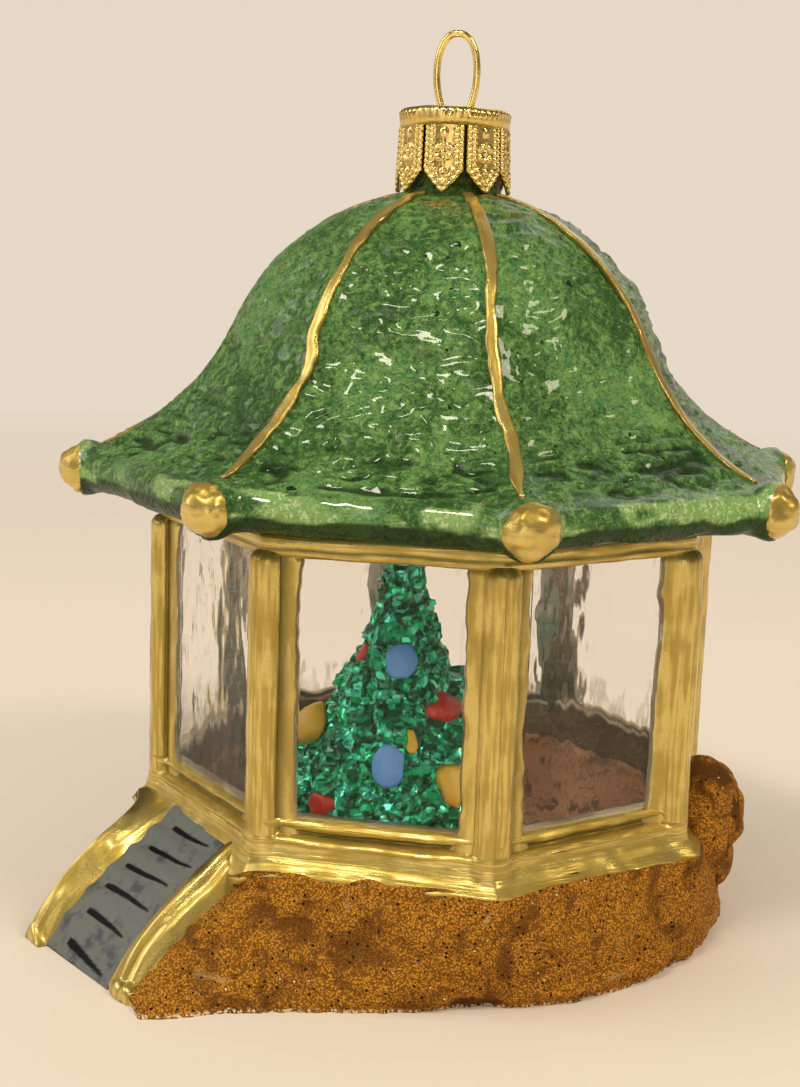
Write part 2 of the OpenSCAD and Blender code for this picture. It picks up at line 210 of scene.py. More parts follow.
def ball(margin, rows, columns):
    """Tilts, azimuths and unit directions all round a point, from a margin off straight up to one off
    straight down."""
    tilt = np.linspace(margin, math.pi - margin, rows)[:, None]
    turn = ring(columns)[None]
    return tilt, turn, together(np.sin(tilt) * np.cos(turn), np.sin(tilt) * np.sin(turn), np.cos(tilt))


def section(front, back, low=0.0, high=1.0, inset=0.05):
    """Shares across a closed section: so many points on its front, then so many on the way back behind
    them. Returns them with a mask of the front."""
    shares = np.concatenate([np.linspace(low, high, front), np.linspace(high - inset, low + inset, back)])
    return shares[None], np.arange(front + back)[None] < front


def normals(grid, wrap_rows=False):
    """Unit normals of a grid whose columns close: the cross product of its two central differences."""
    across = np.roll(grid, -1, 1) - np.roll(grid, 1, 1)
    along = np.roll(grid, -1, 0) - np.roll(grid, 1, 0) if wrap_rows else np.gradient(grid, axis=0)
    n = np.cross(across, along)
    return n / np.maximum(np.linalg.norm(n, axis=-1, keepdims=True), 1e-9)


def patch(grid, wrap_rows=False, **marks):
    """Quads over a grid of points whose columns close. Where the rows don't close, a fan to the first and
    last row's middle shuts each end. marks are point attributes, one value for each point of the grid."""
    rows, columns = grid.shape[:2]
    index = np.arange(rows * columns).reshape(rows, columns)
    a = index if wrap_rows else index[:-1]
    b = np.roll(index, -1, 0) if wrap_rows else index[1:]
    quads = np.stack([a, np.roll(a, -1, 1), np.roll(b, -1, 1), b], -1).reshape(-1, 4)
    points = grid.reshape(-1, 3)
    marks = {name: np.broadcast_to(value, (rows, columns)).reshape(-1) for name, value in marks.items()}
    fans = np.zeros((0, 3), int)
    if not wrap_rows:
        first, last = index[0], index[-1]
        fans = np.concatenate([
            np.stack([np.roll(first, -1), first, np.full(columns, len(points))], -1),
            np.stack([last, np.roll(last, -1), np.full(columns, len(points) + 1)], -1)])
        points = np.concatenate([points, grid[0].mean(0)[None], grid[-1].mean(0)[None]])
        marks = {name: np.concatenate([value, [value[:columns].mean(), value[-columns:].mean()]])
                 for name, value in marks.items()}
    if not outward(points, quads, fans):
        quads, fans = quads[:, ::-1], fans[:, ::-1]
    return {"points": points, "quads": quads, "fans": fans, "marks": marks}


def outward(points, quads, fans):
    """True if a closed skin's faces point out: its signed volume isn't negative."""
    triangles = np.concatenate([quads[:, :3], quads[:, [0, 2, 3]], fans])
    a, b, c = (points[triangles[:, i]] for i in range(3))
    return np.einsum("ij,ij->", a, np.cross(b, c)) >= 0


def placed(name, data):
    """A new object in the scene."""
    made = bpy.data.objects.new(name, data)
    bpy.context.scene.collection.objects.link(made)
    return made


def solid(name, patches, material, *nodes, flat=False, slot=None):
    """One piece from closed patches in millimetres. It rides on the ornament, takes the material's slot, and
    stands for the named CAD nodes. Its slot argument is not used."""
    starts = np.cumsum([0] + [len(p["points"]) for p in patches])
    points = np.concatenate([p["points"] for p in patches]) * MM
    quads = np.concatenate([p["quads"] + s for p, s in zip(patches, starts)])
    fans = np.concatenate([p["fans"] + s for p, s in zip(patches, starts)])
    mesh = bpy.data.meshes.new(name)
    mesh.vertices.add(len(points))
    mesh.vertices.foreach_set("co", points.ravel())
    mesh.loops.add(quads.size + fans.size)
    mesh.loops.foreach_set("vertex_index", np.concatenate([quads.ravel(), fans.ravel()]))
    mesh.polygons.add(len(quads) + len(fans))
    mesh.polygons.foreach_set("loop_start", np.concatenate([
        np.arange(len(quads)) * 4, quads.size + np.arange(len(fans)) * 3]))
    mesh.polygons.foreach_set("use_smooth", np.full(len(quads) + len(fans), not flat))
    for mark in patches[0]["marks"]:
        values = np.concatenate([p["marks"][mark] for p in patches]).astype(np.float32)
        mesh.attributes.new(mark, "FLOAT", "POINT").data.foreach_set("value", values)
    mesh.update(calc_edges=True)
    mesh.materials.append(material)
    piece = placed(name, mesh)
    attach(piece, "root")
    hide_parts(*nodes)


# ---------------------------------------------------------------- node networks

class Net:
    """A node tree with short calls: sockets are given by name or number, as values or as links."""

    def __init__(self, tree):
        self.tree = tree

    def add(self, kind, sockets=None, **settings):
        """A new shader node with its sockets and settings."""
        node = self.tree.nodes.new("ShaderNode" + kind)
        for name, value in settings.items():
            setattr(node, name, value)
        for name, value in (sockets or {}).items():
            if isinstance(value, bpy.types.NodeSocket):
                self.tree.links.new(value, node.inputs[name])
            else:
                node.inputs[name].default_value = value
        return node

    def math(self, operation, a, b=0.0, clamp=False):
        """One sum of two numbers."""
        return self.add("Math", {0: a, 1: b}, operation=operation, use_clamp=clamp).outputs[0]

    def times(self, a, b):
        """One number times another."""
        return self.math("MULTIPLY", a, b)

    def most(self, a, b):
        """The larger of two numbers."""
        return self.math("MAXIMUM", a, b)

    def total(self, *terms):
        """Sum of terms, each a value and its weight."""
        weighed = [value if weight == 1 else self.times(value, weight) for value, weight in terms]
        for term in weighed[1:]:
            weighed[0] = self.math("ADD", weighed[0], term)
        return weighed[0]

    def fold(self, value):
        """Distance of a noise from its middle value, so 0 along thin curled lines."""
        return self.math("ABSOLUTE", self.math("SUBTRACT", value, 0.5))

    def mix(self, share, a, b):
        """A colour that is a share of the way from one to another."""
        return self.add("Mix", {0: share, 6: a, 7: b}, data_type="RGBA").outputs[2]

    def fit(self, value, low, high, to_low=0.0, to_high=1.0):
        """A number's range moved to another range, eased at both ends."""
        return self.add("MapRange", {0: value, 1: low, 2: high, 3: to_low, 4: to_high},
                        interpolation_type="SMOOTHSTEP").outputs[0]

    def mark(self, name):
        """A point attribute of the surface."""
        return self.add("Attribute", attribute_name=name).outputs["Fac"]

    def millimetres(self, stretch=(1, 1, 1)):
        """Object coordinates in millimetres, stretched by a share along each axis."""
        place = self.add("TexCoord").outputs["Object"]
        return self.add("Mapping", {0: place, 3: tuple(1000 * s for s in stretch)}).outputs[0]

    def noise(self, vector, scale, detail=3.0, rough=0.55, warp=0.0):
        """Noise from 0 to 1."""
        return self.add("TexNoise", {"Vector": vector, "Scale": scale, "Detail": detail,
                                     "Roughness": rough, "Distortion": warp}).outputs[0]

    def group(self, tree, **sockets):
        """A node group in use, as its outputs."""
        return self.add("Group", sockets, node_tree=tree).outputs

    def surface(self, output, share, first, second):
        """Ends the tree in a share between two shaders."""
        both = self.add("MixShader", {0: share, 1: first, 2: second}).outputs[0]
        self.tree.links.new(both, self.tree.nodes[output].inputs["Surface"])


def colour(values):
    """A colour with its opacity, as sockets want it."""
    return (*values, 1.0)


def shader_group(name, inputs, outputs, build):
    """A node group built once: build gets the net and the group's inputs, and returns its outputs. inputs
    are the labels with None for a vector, or else a number's default, and the outputs are numbers."""
    if name in bpy.data.node_groups:
        return bpy.data.node_groups[name]
    tree = bpy.data.node_groups.new(name, "ShaderNodeTree")
    for label, default in inputs.items():
        kind = "NodeSocketVector" if default is None else "NodeSocketFloat"
        socket = tree.interface.new_socket(label, in_out="INPUT", socket_type=kind)
        if default is not None:
            socket.default_value = default
    for label in outputs:
        tree.interface.new_socket(label, in_out="OUTPUT", socket_type="NodeSocketFloat")
    net = Net(tree)
    entry = tree.nodes.new("NodeGroupInput")
    leave = tree.nodes.new("NodeGroupOutput")
    for socket, value in zip(leave.inputs, build(net, entry.outputs)):
        tree.links.new(value, socket)
    return tree


def brush_group():
    """Paint laid on by hand: faint streaks along the stroke, soft patches where it is thicker, fine mica,
    and thin brown lines where it has worn."""
    def build(net, given):
        way = net.add("CombineXYZ", {0: net.times(given["Across"], 2.3),
                                     1: net.times(given["Along"], 0.14)}).outputs[0]
        streak = net.noise(way, 1.0, 3.0, 0.5, 0.4)
        patchy = net.noise(given["Vector"], 0.26, 3.0, 0.5)
        mica = net.noise(given["Vector"], 4.0, 2.0, 0.7)
        tone = net.fit(net.total((streak, 0.6), (patchy, 0.4)), 0.42, 0.58)
        line = net.times(net.fit(net.noise(way, 0.9, 2.0), 0.68, 0.72),
                         net.fit(net.noise(given["Vector"], 0.2), 0.5, 0.58))
        return [tone, net.total((streak, 0.7), (mica, 0.3)), line]
    return shader_group("Brush strokes", {"Vector": None, "Along": 0.0, "Across": 0.0},
                        ["Tone", "Height", "Line"], build)


def grit_group():
    """Fine sand stuck to paint: grains, scattered black specks, a few glittering ones, and broad patches."""
    def build(net, given):
        fine = net.add("TexVoronoi", {"Vector": given["Vector"], "Scale": given["Fineness"]})
        tint = net.add("SeparateColor", {0: fine.outputs["Color"]})
        grain = net.math("SUBTRACT", 1.0, fine.outputs["Distance"])
        speck = net.add("TexVoronoi", {"Vector": given["Vector"], "Scale": 1.7})
        pick = net.add("SeparateColor", {0: speck.outputs["Color"]})
        black = net.times(net.fit(pick.outputs[0], 0.66, 0.7), net.fit(speck.outputs["Distance"], 0.28, 0.2))
        spark = net.times(net.fit(pick.outputs[1], 0.94, 0.95), net.fit(speck.outputs["Distance"], 0.2, 0.14))
        return [grain, tint.outputs[2], black, spark, net.noise(given["Vector"], 0.2, 5.0, 0.62, 0.5)]
    return shader_group("Grit", {"Vector": None, "Fineness": 4.0},
                        ["Grain", "Tint", "Black", "Spark", "Wide"], build)


def material(name, slot, build, **fixed):
    """A Principled material: build gets the net, and returns what drives the shader's sockets, with Height
    for a bump of Depth metres. fixed are the shader's plain values."""
    if name in bpy.data.materials:
        return bpy.data.materials[name]
    made = bpy.data.materials.new(name)
    made["slot"] = slot
    made.use_nodes = True
    net = Net(made.node_tree)
    shader = made.node_tree.nodes["Principled BSDF"]
    for socket, value in fixed.items():
        shader.inputs[socket.replace("_", " ")].default_value = value
    driven = build(net)
    if "Height" in driven:
        bump = net.add("Bump", {"Strength": 1.0, "Distance": driven.pop("Depth"),
                                "Height": driven.pop("Height")})
        driven["Normal"] = bump.outputs[0]
    for socket, value in driven.items():
        net.tree.links.new(value, shader.inputs[socket])
    return made


# ---------------------------------------------------------------- sizes and colours a user may change

def length(name, description, millimetres):
    """A size for the panel, given in millimetres."""
    return FloatProperty(name=name, description=description, default=millimetres * MM, min=0.0,
                         unit="LENGTH", precision=5)


def paint(name, description, values):
    """A colour for the panel."""
    return FloatVectorProperty(name=name, description=description, default=values, size=3, min=0.0, max=1.0,
                               subtype="COLOR")


class PavilionSizes(bpy.types.PropertyGroup):
    """Sizes of what is finer than the frame."""
    waist_r: length("Waist radius", "Distance from the axis at which the bell is steepest", 23.4)
    waist_h: length("Waist height", "Height of that place over the middle of the eave", 15.0)
    eave_d: length("Eave thickness", "Thickness of the rolled eave", 4.2)
    wrinkle: length("Wrinkle depth", "Depth of the creases in the green glass", 0.38)
    rib_w: length("Rib width", "Width of a gilded rib", 1.25)
    rib_h: length("Rib height", "Height of a gilded rib over the roof", 0.2)
    cap_r: length("Cap radius", "Radius of the cap under its shoulder", 5.8)
    bead: length("Bead radius", "Radius of a bead on the cap's borders", 0.27)
    wire_d: length("Wire thickness", "Thickness of the loop's wire", 0.75)
    loop_w: length("Loop width", "Outer width of the loop", 5.0)
    column_d: length("Column diameter", "Diameter of a corner column", 3.8)
    frame_t: length("Frame thickness", "Thickness of the strips beside a column", 1.8)
    ripple: length("Ripple depth", "Depth of the waves in the clear glass", 0.04)
    lump: length("Lump height", "Height of the lumps in the sanded rock", 0.75)
    crumple: length("Crumple depth", "Depth of the crumpled glass of the tree", 0.75)
    flight_w: length("Flight width", "Width of the flight at the top", 10.0)
    wall_w: length("Side wall width", "Width of each side wall of the stair", 3.0)
    widening: length("Widening", "How much further the flight reaches on its right", 0.9)
    strokes: IntProperty(name="Step lines", description="Painted lines across the flight", default=6, min=1)


class PavilionColours(bpy.types.PropertyGroup):
    """Colours of the paints, glass and metal."""
    brass: paint("Brass", "Bright metal of the cap and loop", (1.0, 0.76, 0.27))
    brass_deep: paint("Deep brass", "Metal in the hollows of the embossing", (0.62, 0.40, 0.11))
    gold: paint("Gold", "Gilding where it is thick", (0.72, 0.54, 0.15))
    gold_deep: paint("Deep gold", "Gilding where it is thin", (0.50, 0.35, 0.065))
    olive: paint("Olive", "Shaded hollows of the gilding", (0.15, 0.115, 0.012))
    umber: paint("Umber", "Brown lines in the gilding", (0.11, 0.05, 0.012))
    inner_gold: paint("Inner gold", "Gilding seen from behind, through the glass", (0.40, 0.31, 0.20))
    inner_grey: paint("Inner grey", "Darker patches of the gilding seen from behind", (0.24, 0.19, 0.13))
    silvered: paint("Silvered", "Pale patches of the gilding seen from behind", (0.62, 0.56, 0.47))
    # green, green_mid and green_deep are lit and shaded copies of one lacquer: painted highlight on the
    # crests, painted shade in the creases
    green: paint("Green", "Lacquer on the crests of the roof", (0.165, 0.32, 0.082))
    green_mid: paint("Middle green", "Lacquer between crest and crease", (0.034, 0.105, 0.022))
    green_deep: paint("Deep green", "Lacquer in the creases", (0.008, 0.024, 0.003))
    teal: paint("Teal", "Bluish patches of the lacquer", (0.03, 0.18, 0.07))
    # band and band_pale: painted sheen on the eave's roll
    band: paint("Eave green", "Pale patches along the eave", (0.22, 0.38, 0.11))
    band_pale: paint("Pale eave green", "Palest spots of those patches", (0.50, 0.62, 0.30))
    sand: paint("Sand", "Orange sand of the rock", (0.53, 0.205, 0.012))
    sand_pale: paint("Pale sand", "Worn sand on the crests", (0.72, 0.34, 0.04))
    # sand_dark: painted shade in the rock's hollows and between its grains, and darker spots and patches
    sand_dark: paint("Dark sand", "Brown hollows of the rock", (0.11, 0.04, 0.006))
    sand_bare: paint("Bare sand", "Broad patches where the sand is thin", (0.46, 0.30, 0.13))
    speck: paint("Specks", "Black grains in the sand", (0.012, 0.007, 0.004))
    # spark: glittering grains painted pale as a painted glint, and worn grains at the rock's foot
    spark: paint("Glitter", "Glittering grains, and worn ones at the rock's foot", (0.85, 0.66, 0.40))
    inner_rock: paint("Inner brown", "Rock's paint seen from inside", (0.80, 0.45, 0.25))
    wall_dark: paint("Dark inner wall", "Dark swirls on the rock's inner wall", (0.26, 0.16, 0.10))
    wall_rose: paint("Rose inner wall", "Reddish swirls on the rock's inner wall", (0.55, 0.33, 0.22))
    ground_dark: paint("Dark ground", "Dark swirls of the ground in the pavilion", (0.20, 0.10, 0.06))
    ground_rose: paint("Rose ground", "Reddish swirls of the ground in the pavilion", (0.60, 0.36, 0.25))
    slate: paint("Slate", "Paint of the flight", (0.145, 0.155, 0.142))
    slate_dark: paint("Dark slate", "Smudges on the flight", (0.075, 0.08, 0.092))
    ink: paint("Ink", "Brush lines of the steps", (0.003, 0.003, 0.004))
    tree: paint("Emerald", "Bright glass of the tree", (0.01, 0.74, 0.32))
    # tree_deep: the darker glass, and painted shade in sunken facets and along facet edges
    tree_deep: paint("Deep emerald", "Dark glass of the tree", (0.003, 0.115, 0.048))
    # tree_spark: a few facets painted bright as painted glints
    tree_spark: paint("Sparkle", "Brightest facets of the tree", (0.10, 0.90, 0.62))
    blue: paint("Blue", "Blue dabs", (0.12, 0.35, 0.78))
    red: paint("Red", "Red dabs", (0.60, 0.03, 0.01))
    yellow: paint("Yellow", "Yellow dabs", (0.80, 0.50, 0.035))
    glass: paint("Glass", "Clear glass of the panes", (0.985, 0.98, 0.965))
    # streaks on the panes: partly paint smudges, partly painted reflections of the dark parts behind the
    # glass
    soot: paint("Soot", "Streaks on the panes", (0.27, 0.25, 0.16))
    floor: paint("Floor", "Plain floor", (0.785, 0.69, 0.58))
    backdrop: paint("Backdrop", "Plain backdrop", (0.80, 0.69, 0.57))


def sizes():
    """The user's sizes as plain numbers, in millimetres."""
    group = bpy.context.scene.pavilion_sizes
    return {name: getattr(group, name) / MM for name in PavilionSizes.__annotations__ if name != "strokes"}


def hue(name):
    """One of the user's colours."""
    return colour(getattr(bpy.context.scene.pavilion_colours, name))


# ---------------------------------------------------------------- materials

def brass():
    """Thin stamped metal: bright on the crests, brown in the hollows, with a faintly grained polish."""
    def build(net):
        place = net.millimetres()
        grain = net.noise(place, 1.4, 4.0, 0.6)
        deep = net.times(net.mark("deep"), net.fit(grain, 0.3, 0.6, 0.6, 1.0))
        return {"Base Color": net.mix(deep, hue("brass"), hue("brass_deep")),
                "Roughness": net.fit(grain, 0.3, 0.7, 0.16, 0.32),
                "Height": net.noise(place, 3.5, 3.0), "Depth": 0.00003}
    return material("Brass", "gold_metal", build, Metallic=1.0)


def gilding():
    """Gold lacquer on glass: brushed, darkened to olive in hollows, grooves and joins as painted shade, brown
    lines where it is worn, and dull from behind, where it turns pale and patchy towards the edges."""
    def build(net):
        place = net.millimetres()
        tone, lift, line = net.group(brush_group(), Vector=place, Along=net.mark("along"),
                                     Across=net.mark("across"))
        gold = net.mix(tone, hue("gold_deep"), hue("gold"))
        # painted shade: deep darkens hollows, grooves and joins towards olive
        gold = net.mix(net.mark("deep"), gold, hue("olive"))
        gold = net.mix(net.times(line, net.mark("worn")), gold, hue("umber"))
        back = net.noise(place, 0.6, 5.0, 0.75, 1.0)
        dull = net.mix(net.fit(back, 0.4, 0.55), hue("inner_gold"), hue("inner_grey"))
        pale = net.fit(net.total((back, 1), (net.mark("pale"), 0.5)), 0.6, 0.66)
        dull = net.mix(pale, dull, hue("silvered"))
        return {"Base Color": net.mix(net.mark("inside"), gold, dull),
                "Roughness": net.fit(tone, 0.0, 1.0, 0.40, 0.27),
                "Height": lift, "Depth": 0.00009}
    return material("Gilding", "gold_paint", build, Metallic=0.75, Coat_Weight=0.4, Coat_Roughness=0.1)


def lacquer():
    """Clear-coated green: finely mottled, lighter on the crests as a painted highlight, with creases and
    curled lines darkened as painted shade, dark pits, bluish and olive patches, and pale blocks of painted
    sheen along the eave."""
    def build(net):
        place = net.millimetres()
        wide = net.noise(place, 0.09, 3.0, 0.5)
        fine = net.noise(place, 2.0, 2.0, 0.55, 1.0)
        swell = net.noise(place, 0.75, 2.0, 0.5, 1.2)
        curl = net.fold(net.noise(place, 1.1, 2.0, 0.55, 1.8))
        # painted shade: thin dark lines along the folds of swell and curl, where the bump has its valleys
        crease_shade = net.fit(net.fold(swell), 0.03, 0.0)
        hatch = net.fit(curl, 0.03, 0.0)
        pits = net.fit(net.noise(place, 0.9, 1.0, 0.5, 0.3), 0.73, 0.77)
        body = net.mix(net.fit(wide, 0.5, 0.64), hue("green_mid"), hue("teal"))
        # painted highlight: the tone follows swell, the bump's height, so the crests take the lighter green
        tone = net.total((fine, 0.45), (swell, 0.55), (net.math("SUBTRACT", wide, 0.5), 0.5))
        green = net.mix(net.fit(tone, 0.36, 0.62), body, hue("green"))
        # painted shade: deep darkens the creases, the groove over the eave's roll and the eave's underside;
        # on the neck deep is a constant that gives its own darker green
        dark = net.most(net.fit(net.mark("deep"), 0.35, 1.0, 0.0, 0.85), net.times(crease_shade, 0.4))
        dark = net.most(net.most(dark, net.times(hatch, 0.8)), pits)
        green = net.mix(dark, green, hue("green_deep"))
        # painted sheen: pale blocks along the eave's roll, with the crease shade lines showing through
        pale = net.mix(net.fit(fine, 0.5, 0.66), hue("band"), hue("band_pale"))
        green = net.mix(net.mark("band"), green, net.mix(net.times(crease_shade, 0.7), pale, hue("green")))
        green = net.mix(net.times(net.mark("crown"), net.fit(fine, 0.35, 0.6)), green, hue("olive"))
        return {"Base Color": net.mix(net.mark("inside"), green, hue("green_mid")),
                "Coat Weight": net.mark("gloss"),
                "Roughness": net.fit(fine, 0.3, 0.7, 0.25, 0.4),
                "Height": net.total((swell, 1), (fine, 0.1), (net.fit(curl, 0.0, 0.06, 0.0, 0.06), 1)),
                "Depth": 0.0006}
    return material("Green lacquer", "green_lacquer", build, Specular_IOR_Level=0.15, Coat_Roughness=0.04)


def swirls(net, place, scale, warp, dark, rose, high):
    """Brown paint in long swirls, dark in some and reddish in others. Returns the swirls and the colour."""
    swirl = net.noise(place, scale, 5.0, 0.6, warp)
    brown = net.mix(net.fit(swirl, 0.36, 0.5), hue(dark), hue("inner_rock"))
    return swirl, net.mix(net.fit(swirl, high, 0.66), brown, hue(rose))


def sanded():
    """Orange sand stuck on paint, with painted shade in its hollows and between its grains outside,
    glittering grains painted pale as glints, and swirled brown paint inside.
    """
    def build(net):
        place = net.millimetres()
        grain, tint, black, spark, wide = net.group(grit_group(), Vector=place, Fineness=4.5)
        sand = net.mix(net.times(tint, 0.7), hue("sand"), hue("sand_pale"))
        # painted shade: the grains' low points, which are also the bump's, darken
        sand = net.mix(net.fit(grain, 0.7, 0.4, 0.0, 0.8), sand, hue("sand_dark"))
        pocked = net.fit(net.noise(place, 1.9, 3.0, 0.6, 0.5), 0.42, 0.34, 0.0, 0.75)
        sand = net.mix(pocked, sand, hue("sand_dark"))
        # painted shade: deep, the low parts of the lumps, darkens the sand; broad darker patches come from
        # the wide noise
        hollow = net.math("ADD", net.times(net.mark("deep"), 0.95), net.fit(wide, 0.52, 0.64, 0.0, 0.75),
                          clamp=True)
        sand = net.mix(hollow, sand, hue("sand_dark"))
        sand = net.mix(net.fit(wide, 0.38, 0.28, 0.0, 0.5), sand, hue("sand_bare"))
        sand = net.mix(black, sand, hue("speck"))
        edge = net.times(net.mark("edge"), net.fit(tint, 0.6, 0.7))
        # painted glint: glittering grains are painted pale; edge adds worn pale grains at the rock's foot
        sand = net.mix(net.most(spark, edge), sand, hue("spark"))
        _, brown = swirls(net, place, 0.18, 2.5, "wall_dark", "wall_rose", 0.56)
        inside = net.mark("inside")
        return {"Base Color": net.mix(inside, sand, brown),
                "Roughness": net.fit(net.most(inside, spark), 0.0, 1.0, 0.9, 0.22),
                "Height": grain, "Depth": 0.00014}
    return material("Sanded rock", "sanded_rock", build, Specular_IOR_Level=0.15)


def swirled():
    """Reddish-brown paint seen through glass: long swirls, with a glassy face."""
    def build(net):
        swirl, tone = swirls(net, net.millimetres(), 0.22, 2.2, "ground_dark", "ground_rose", 0.54)
        return {"Base Color": tone, "Height": swirl, "Depth": 0.0006}
    return material("Swirled brown", "inner_brown", build, Roughness=0.2)


def slate():
    """Flat grey-blue paint with dark smudges and the black lines that stand for steps."""
    def build(net):
        place = net.millimetres()
        wide = net.noise(place, 0.45, 4.0, 0.6)
        fine = net.noise(place, 2.5, 3.0)
        tone = net.mix(net.fit(wide, 0.5, 0.68), hue("slate"), hue("slate_dark"))
        tone = net.mix(net.fit(fine, 0.62, 0.74, 0.0, 0.5), tone, hue("slate_dark"))
        return {"Base Color": net.mix(net.mark("line"), tone, hue("ink")),
                "Roughness": net.fit(wide, 0.3, 0.7, 0.42, 0.6),
                "Height": fine, "Depth": 0.00005}
    return material("Slate paint", "slate_paint", build, Specular_IOR_Level=0.12)


def emerald():
    """Crumpled green glass: each facet its own tone between dark and bright, hard and glossy, with painted
    shade in sunken facets and along facet edges, and a few facets painted bright as glints.
    """
    def build(net):
        cells = {"Vector": net.millimetres(), "Scale": 1.3}
        pick = net.add("SeparateColor", {0: net.add("TexVoronoi", cells).outputs["Color"]})
        rim = net.add("TexVoronoi", cells, feature="DISTANCE_TO_EDGE").outputs["Distance"]
        # painted shade: deep darkens sunken facets and the parts near facet edges
        tone = net.total((pick.outputs[0], 0.8), (net.mark("deep"), 1))
        green = net.mix(net.fit(tone, 0.05, 0.75), hue("tree"), hue("tree_deep"))
        # painted glint: a few facets take the bright tree_spark
        green = net.mix(net.fit(pick.outputs[1], 0.74, 0.80, 0.0, 0.9), green, hue("tree_spark"))
        # painted shade: dark lines along the facet edges
        green = net.mix(net.fit(rim, 0.07, 0.0, 0.0, 0.9), green, hue("tree_deep"))
        return {"Base Color": green, "Height": pick.outputs[2], "Depth": 0.0004}
    return material("Emerald glass", "tree_glass", build, Roughness=0.08, Metallic=0.4, Coat_Weight=0.2)


def dab_paint(name):
    """A flat dab of one paint, a little streaked."""
    def build(net):
        fine = net.noise(net.millimetres(), 1.2, 4.0, 0.6, 0.8)
        pale = colour(0.75 * value + 0.12 for value in hue(name)[:3])
        return {"Base Color": net.mix(net.fit(fine, 0.5, 0.7, 0.0, 0.6), hue(name), pale),
                "Height": fine, "Depth": 0.00006}
    return material(name.capitalize() + " dab", name + "_dab", build, Roughness=0.35)


def clear_glass():
    """Clear glass with brown streaks, partly paint smudges and partly painted reflections of the dark parts
    behind it, which lets the lamps through to what it shuts in.
    """
    def build(net):
        ripple = net.noise(net.millimetres((1, 1, 0.35)), 0.7, 2.0, 0.5)
        return {"Base Color": net.mix(net.mark("soot"), hue("glass"), hue("soot")),
                "Height": ripple, "Depth": 0.00003}
    if "Clear glass" in bpy.data.materials:
        return bpy.data.materials["Clear glass"]
    made = material("Clear glass", "clear_glass", build, Roughness=0.0, IOR=1.22, Transmission_Weight=1.0)
    net = Net(made.node_tree)
    net.surface("Material Output", net.add("LightPath").outputs["Is Shadow Ray"],
                made.node_tree.nodes["Principled BSDF"].outputs[0], net.add("BsdfTransparent").outputs[0])
    return made


# ---------------------------------------------------------------- cap and loop

def loop_piece(s):
    """Wire round an oval that is open at its foot, where both ends go into the cap."""
    opening = math.radians(38)
    a = np.linspace(-1, 1, 96) * (math.pi - opening)
    half = (s["loop_w"] - s["wire_d"]) / 2
    across = half * np.sign(np.sin(a)) * np.abs(np.sin(a)) ** 0.9 * (1 - 0.10 * np.cos(a)) ** -1
    across *= half / np.abs(across).max()
    low = math.cos(math.pi - opening)
    up = CAP_Z - 0.3 + (LOOP_Z - CAP_Z + 0.3 - s["wire_d"] / 2) * (np.cos(a) - low) / (1 - low)
    away, aside = directions(side_azimuth(2))
    line = across[:, None] * aside + up[:, None] * np.array([0, 0, 1])
    line += 0.12 * noise(line, 2.5, 5)[:, None] * away
    way = np.gradient(line, axis=0)
    way /= np.linalg.norm(way, axis=1, keepdims=True)
    out = np.cross(way, away)[:, None]
    turn = np.linspace(0, 2 * math.pi, 18, endpoint=False)[None, :, None]
    wire = s["wire_d"] / 2 * (1 + 0.03 * noise(line, 0.8, 6))[:, None, None]
    grid = line[:, None] + wire * (np.cos(turn) * out + np.sin(turn) * away)
    solid("hanger_wire", [patch(grid, deep=0.25)], brass(), "hanger_loop")


# One petal's flower: across and up from its point, half width and half height, and lean in radians.
FLOWER = (
    (0, 6.0, 0.42, 0.5, 0), (0, 5.2, 0.16, 0.6, 0), (0.55, 4.5, 0.26, 0.5, 0.9),
    (-0.55, 4.5, 0.26, 0.5, -0.9), (0.55, 3.5, 0.24, 0.46, -0.9), (-0.55, 3.5, 0.24, 0.46, 0.9),
    (0, 4.0, 0.2, 0.3, 0), (0, 3.1, 0.16, 0.5, 0), (0, 2.1, 0.36, 0.36, 0), (0, 0.95, 0.3, 0.3, 0),
)


def emboss(across, up, edge, bead):
    """Relief of one petal from 0 to 1: two rows of beads along its edge, and a small flower on a stem.
    across is the distance from its middle line, up from its point, and edge from its side."""
    relief = np.zeros_like(across)
    for inset, shift in ((0.30, 0.0), (0.88, 0.5)):
        along = (up / (2.1 * bead) + shift) % 1 - 0.5
        relief = np.maximum(relief, 1 - ((edge - inset) / bead) ** 2 - (2.1 * along) ** 2)
    for x, y, wide, tall, lean in FLOWER:
        u = (across - x) * math.cos(lean) + (up - y) * math.sin(lean)
        v = (up - y) * math.cos(lean) - (across - x) * math.sin(lean)
        relief = np.maximum(relief, 1 - (u / wide) ** 2 - (v / tall) ** 2)
    return np.sqrt(np.clip(relief, 0, 1))


def petal(k, s):
    """One petal: a bent plate with a pointed end, whose face follows a slightly flared cone."""
    top, foot = CAP_Z - 0.9, CROWN_Z
    t = np.linspace(0, 1, 68)[:, None]
    u, front = section(38, 8, -1, 1, 0.04)
    radius = s["cap_r"] + (PETAL_R - s["cap_r"] - 0.05) * t ** 1.6
    half = (math.pi / SIDES * radius - 0.11) * np.minimum(1, (1.02 - t) / 0.30) ** 0.9
    across = u * half
    up = (1 - t) * (top - foot) + 0 * across
    edge = (half - np.abs(across)) * np.where(t > 0.7, 0.75, 1.0)
    relief = emboss(across, up, edge, s["bead"]) * smooth(up, 6.9, 6.5)
    wall = np.where(front, 0.19 * relief - 0.12 * np.abs(u) ** 6, -0.28)
    grid = polar(radius + wall - 0.12, side_azimuth(k) + across / radius, foot + up)
    return patch(grid, deep=np.where(front, 0.75 * (1 - relief) ** 1.5, 1.0))


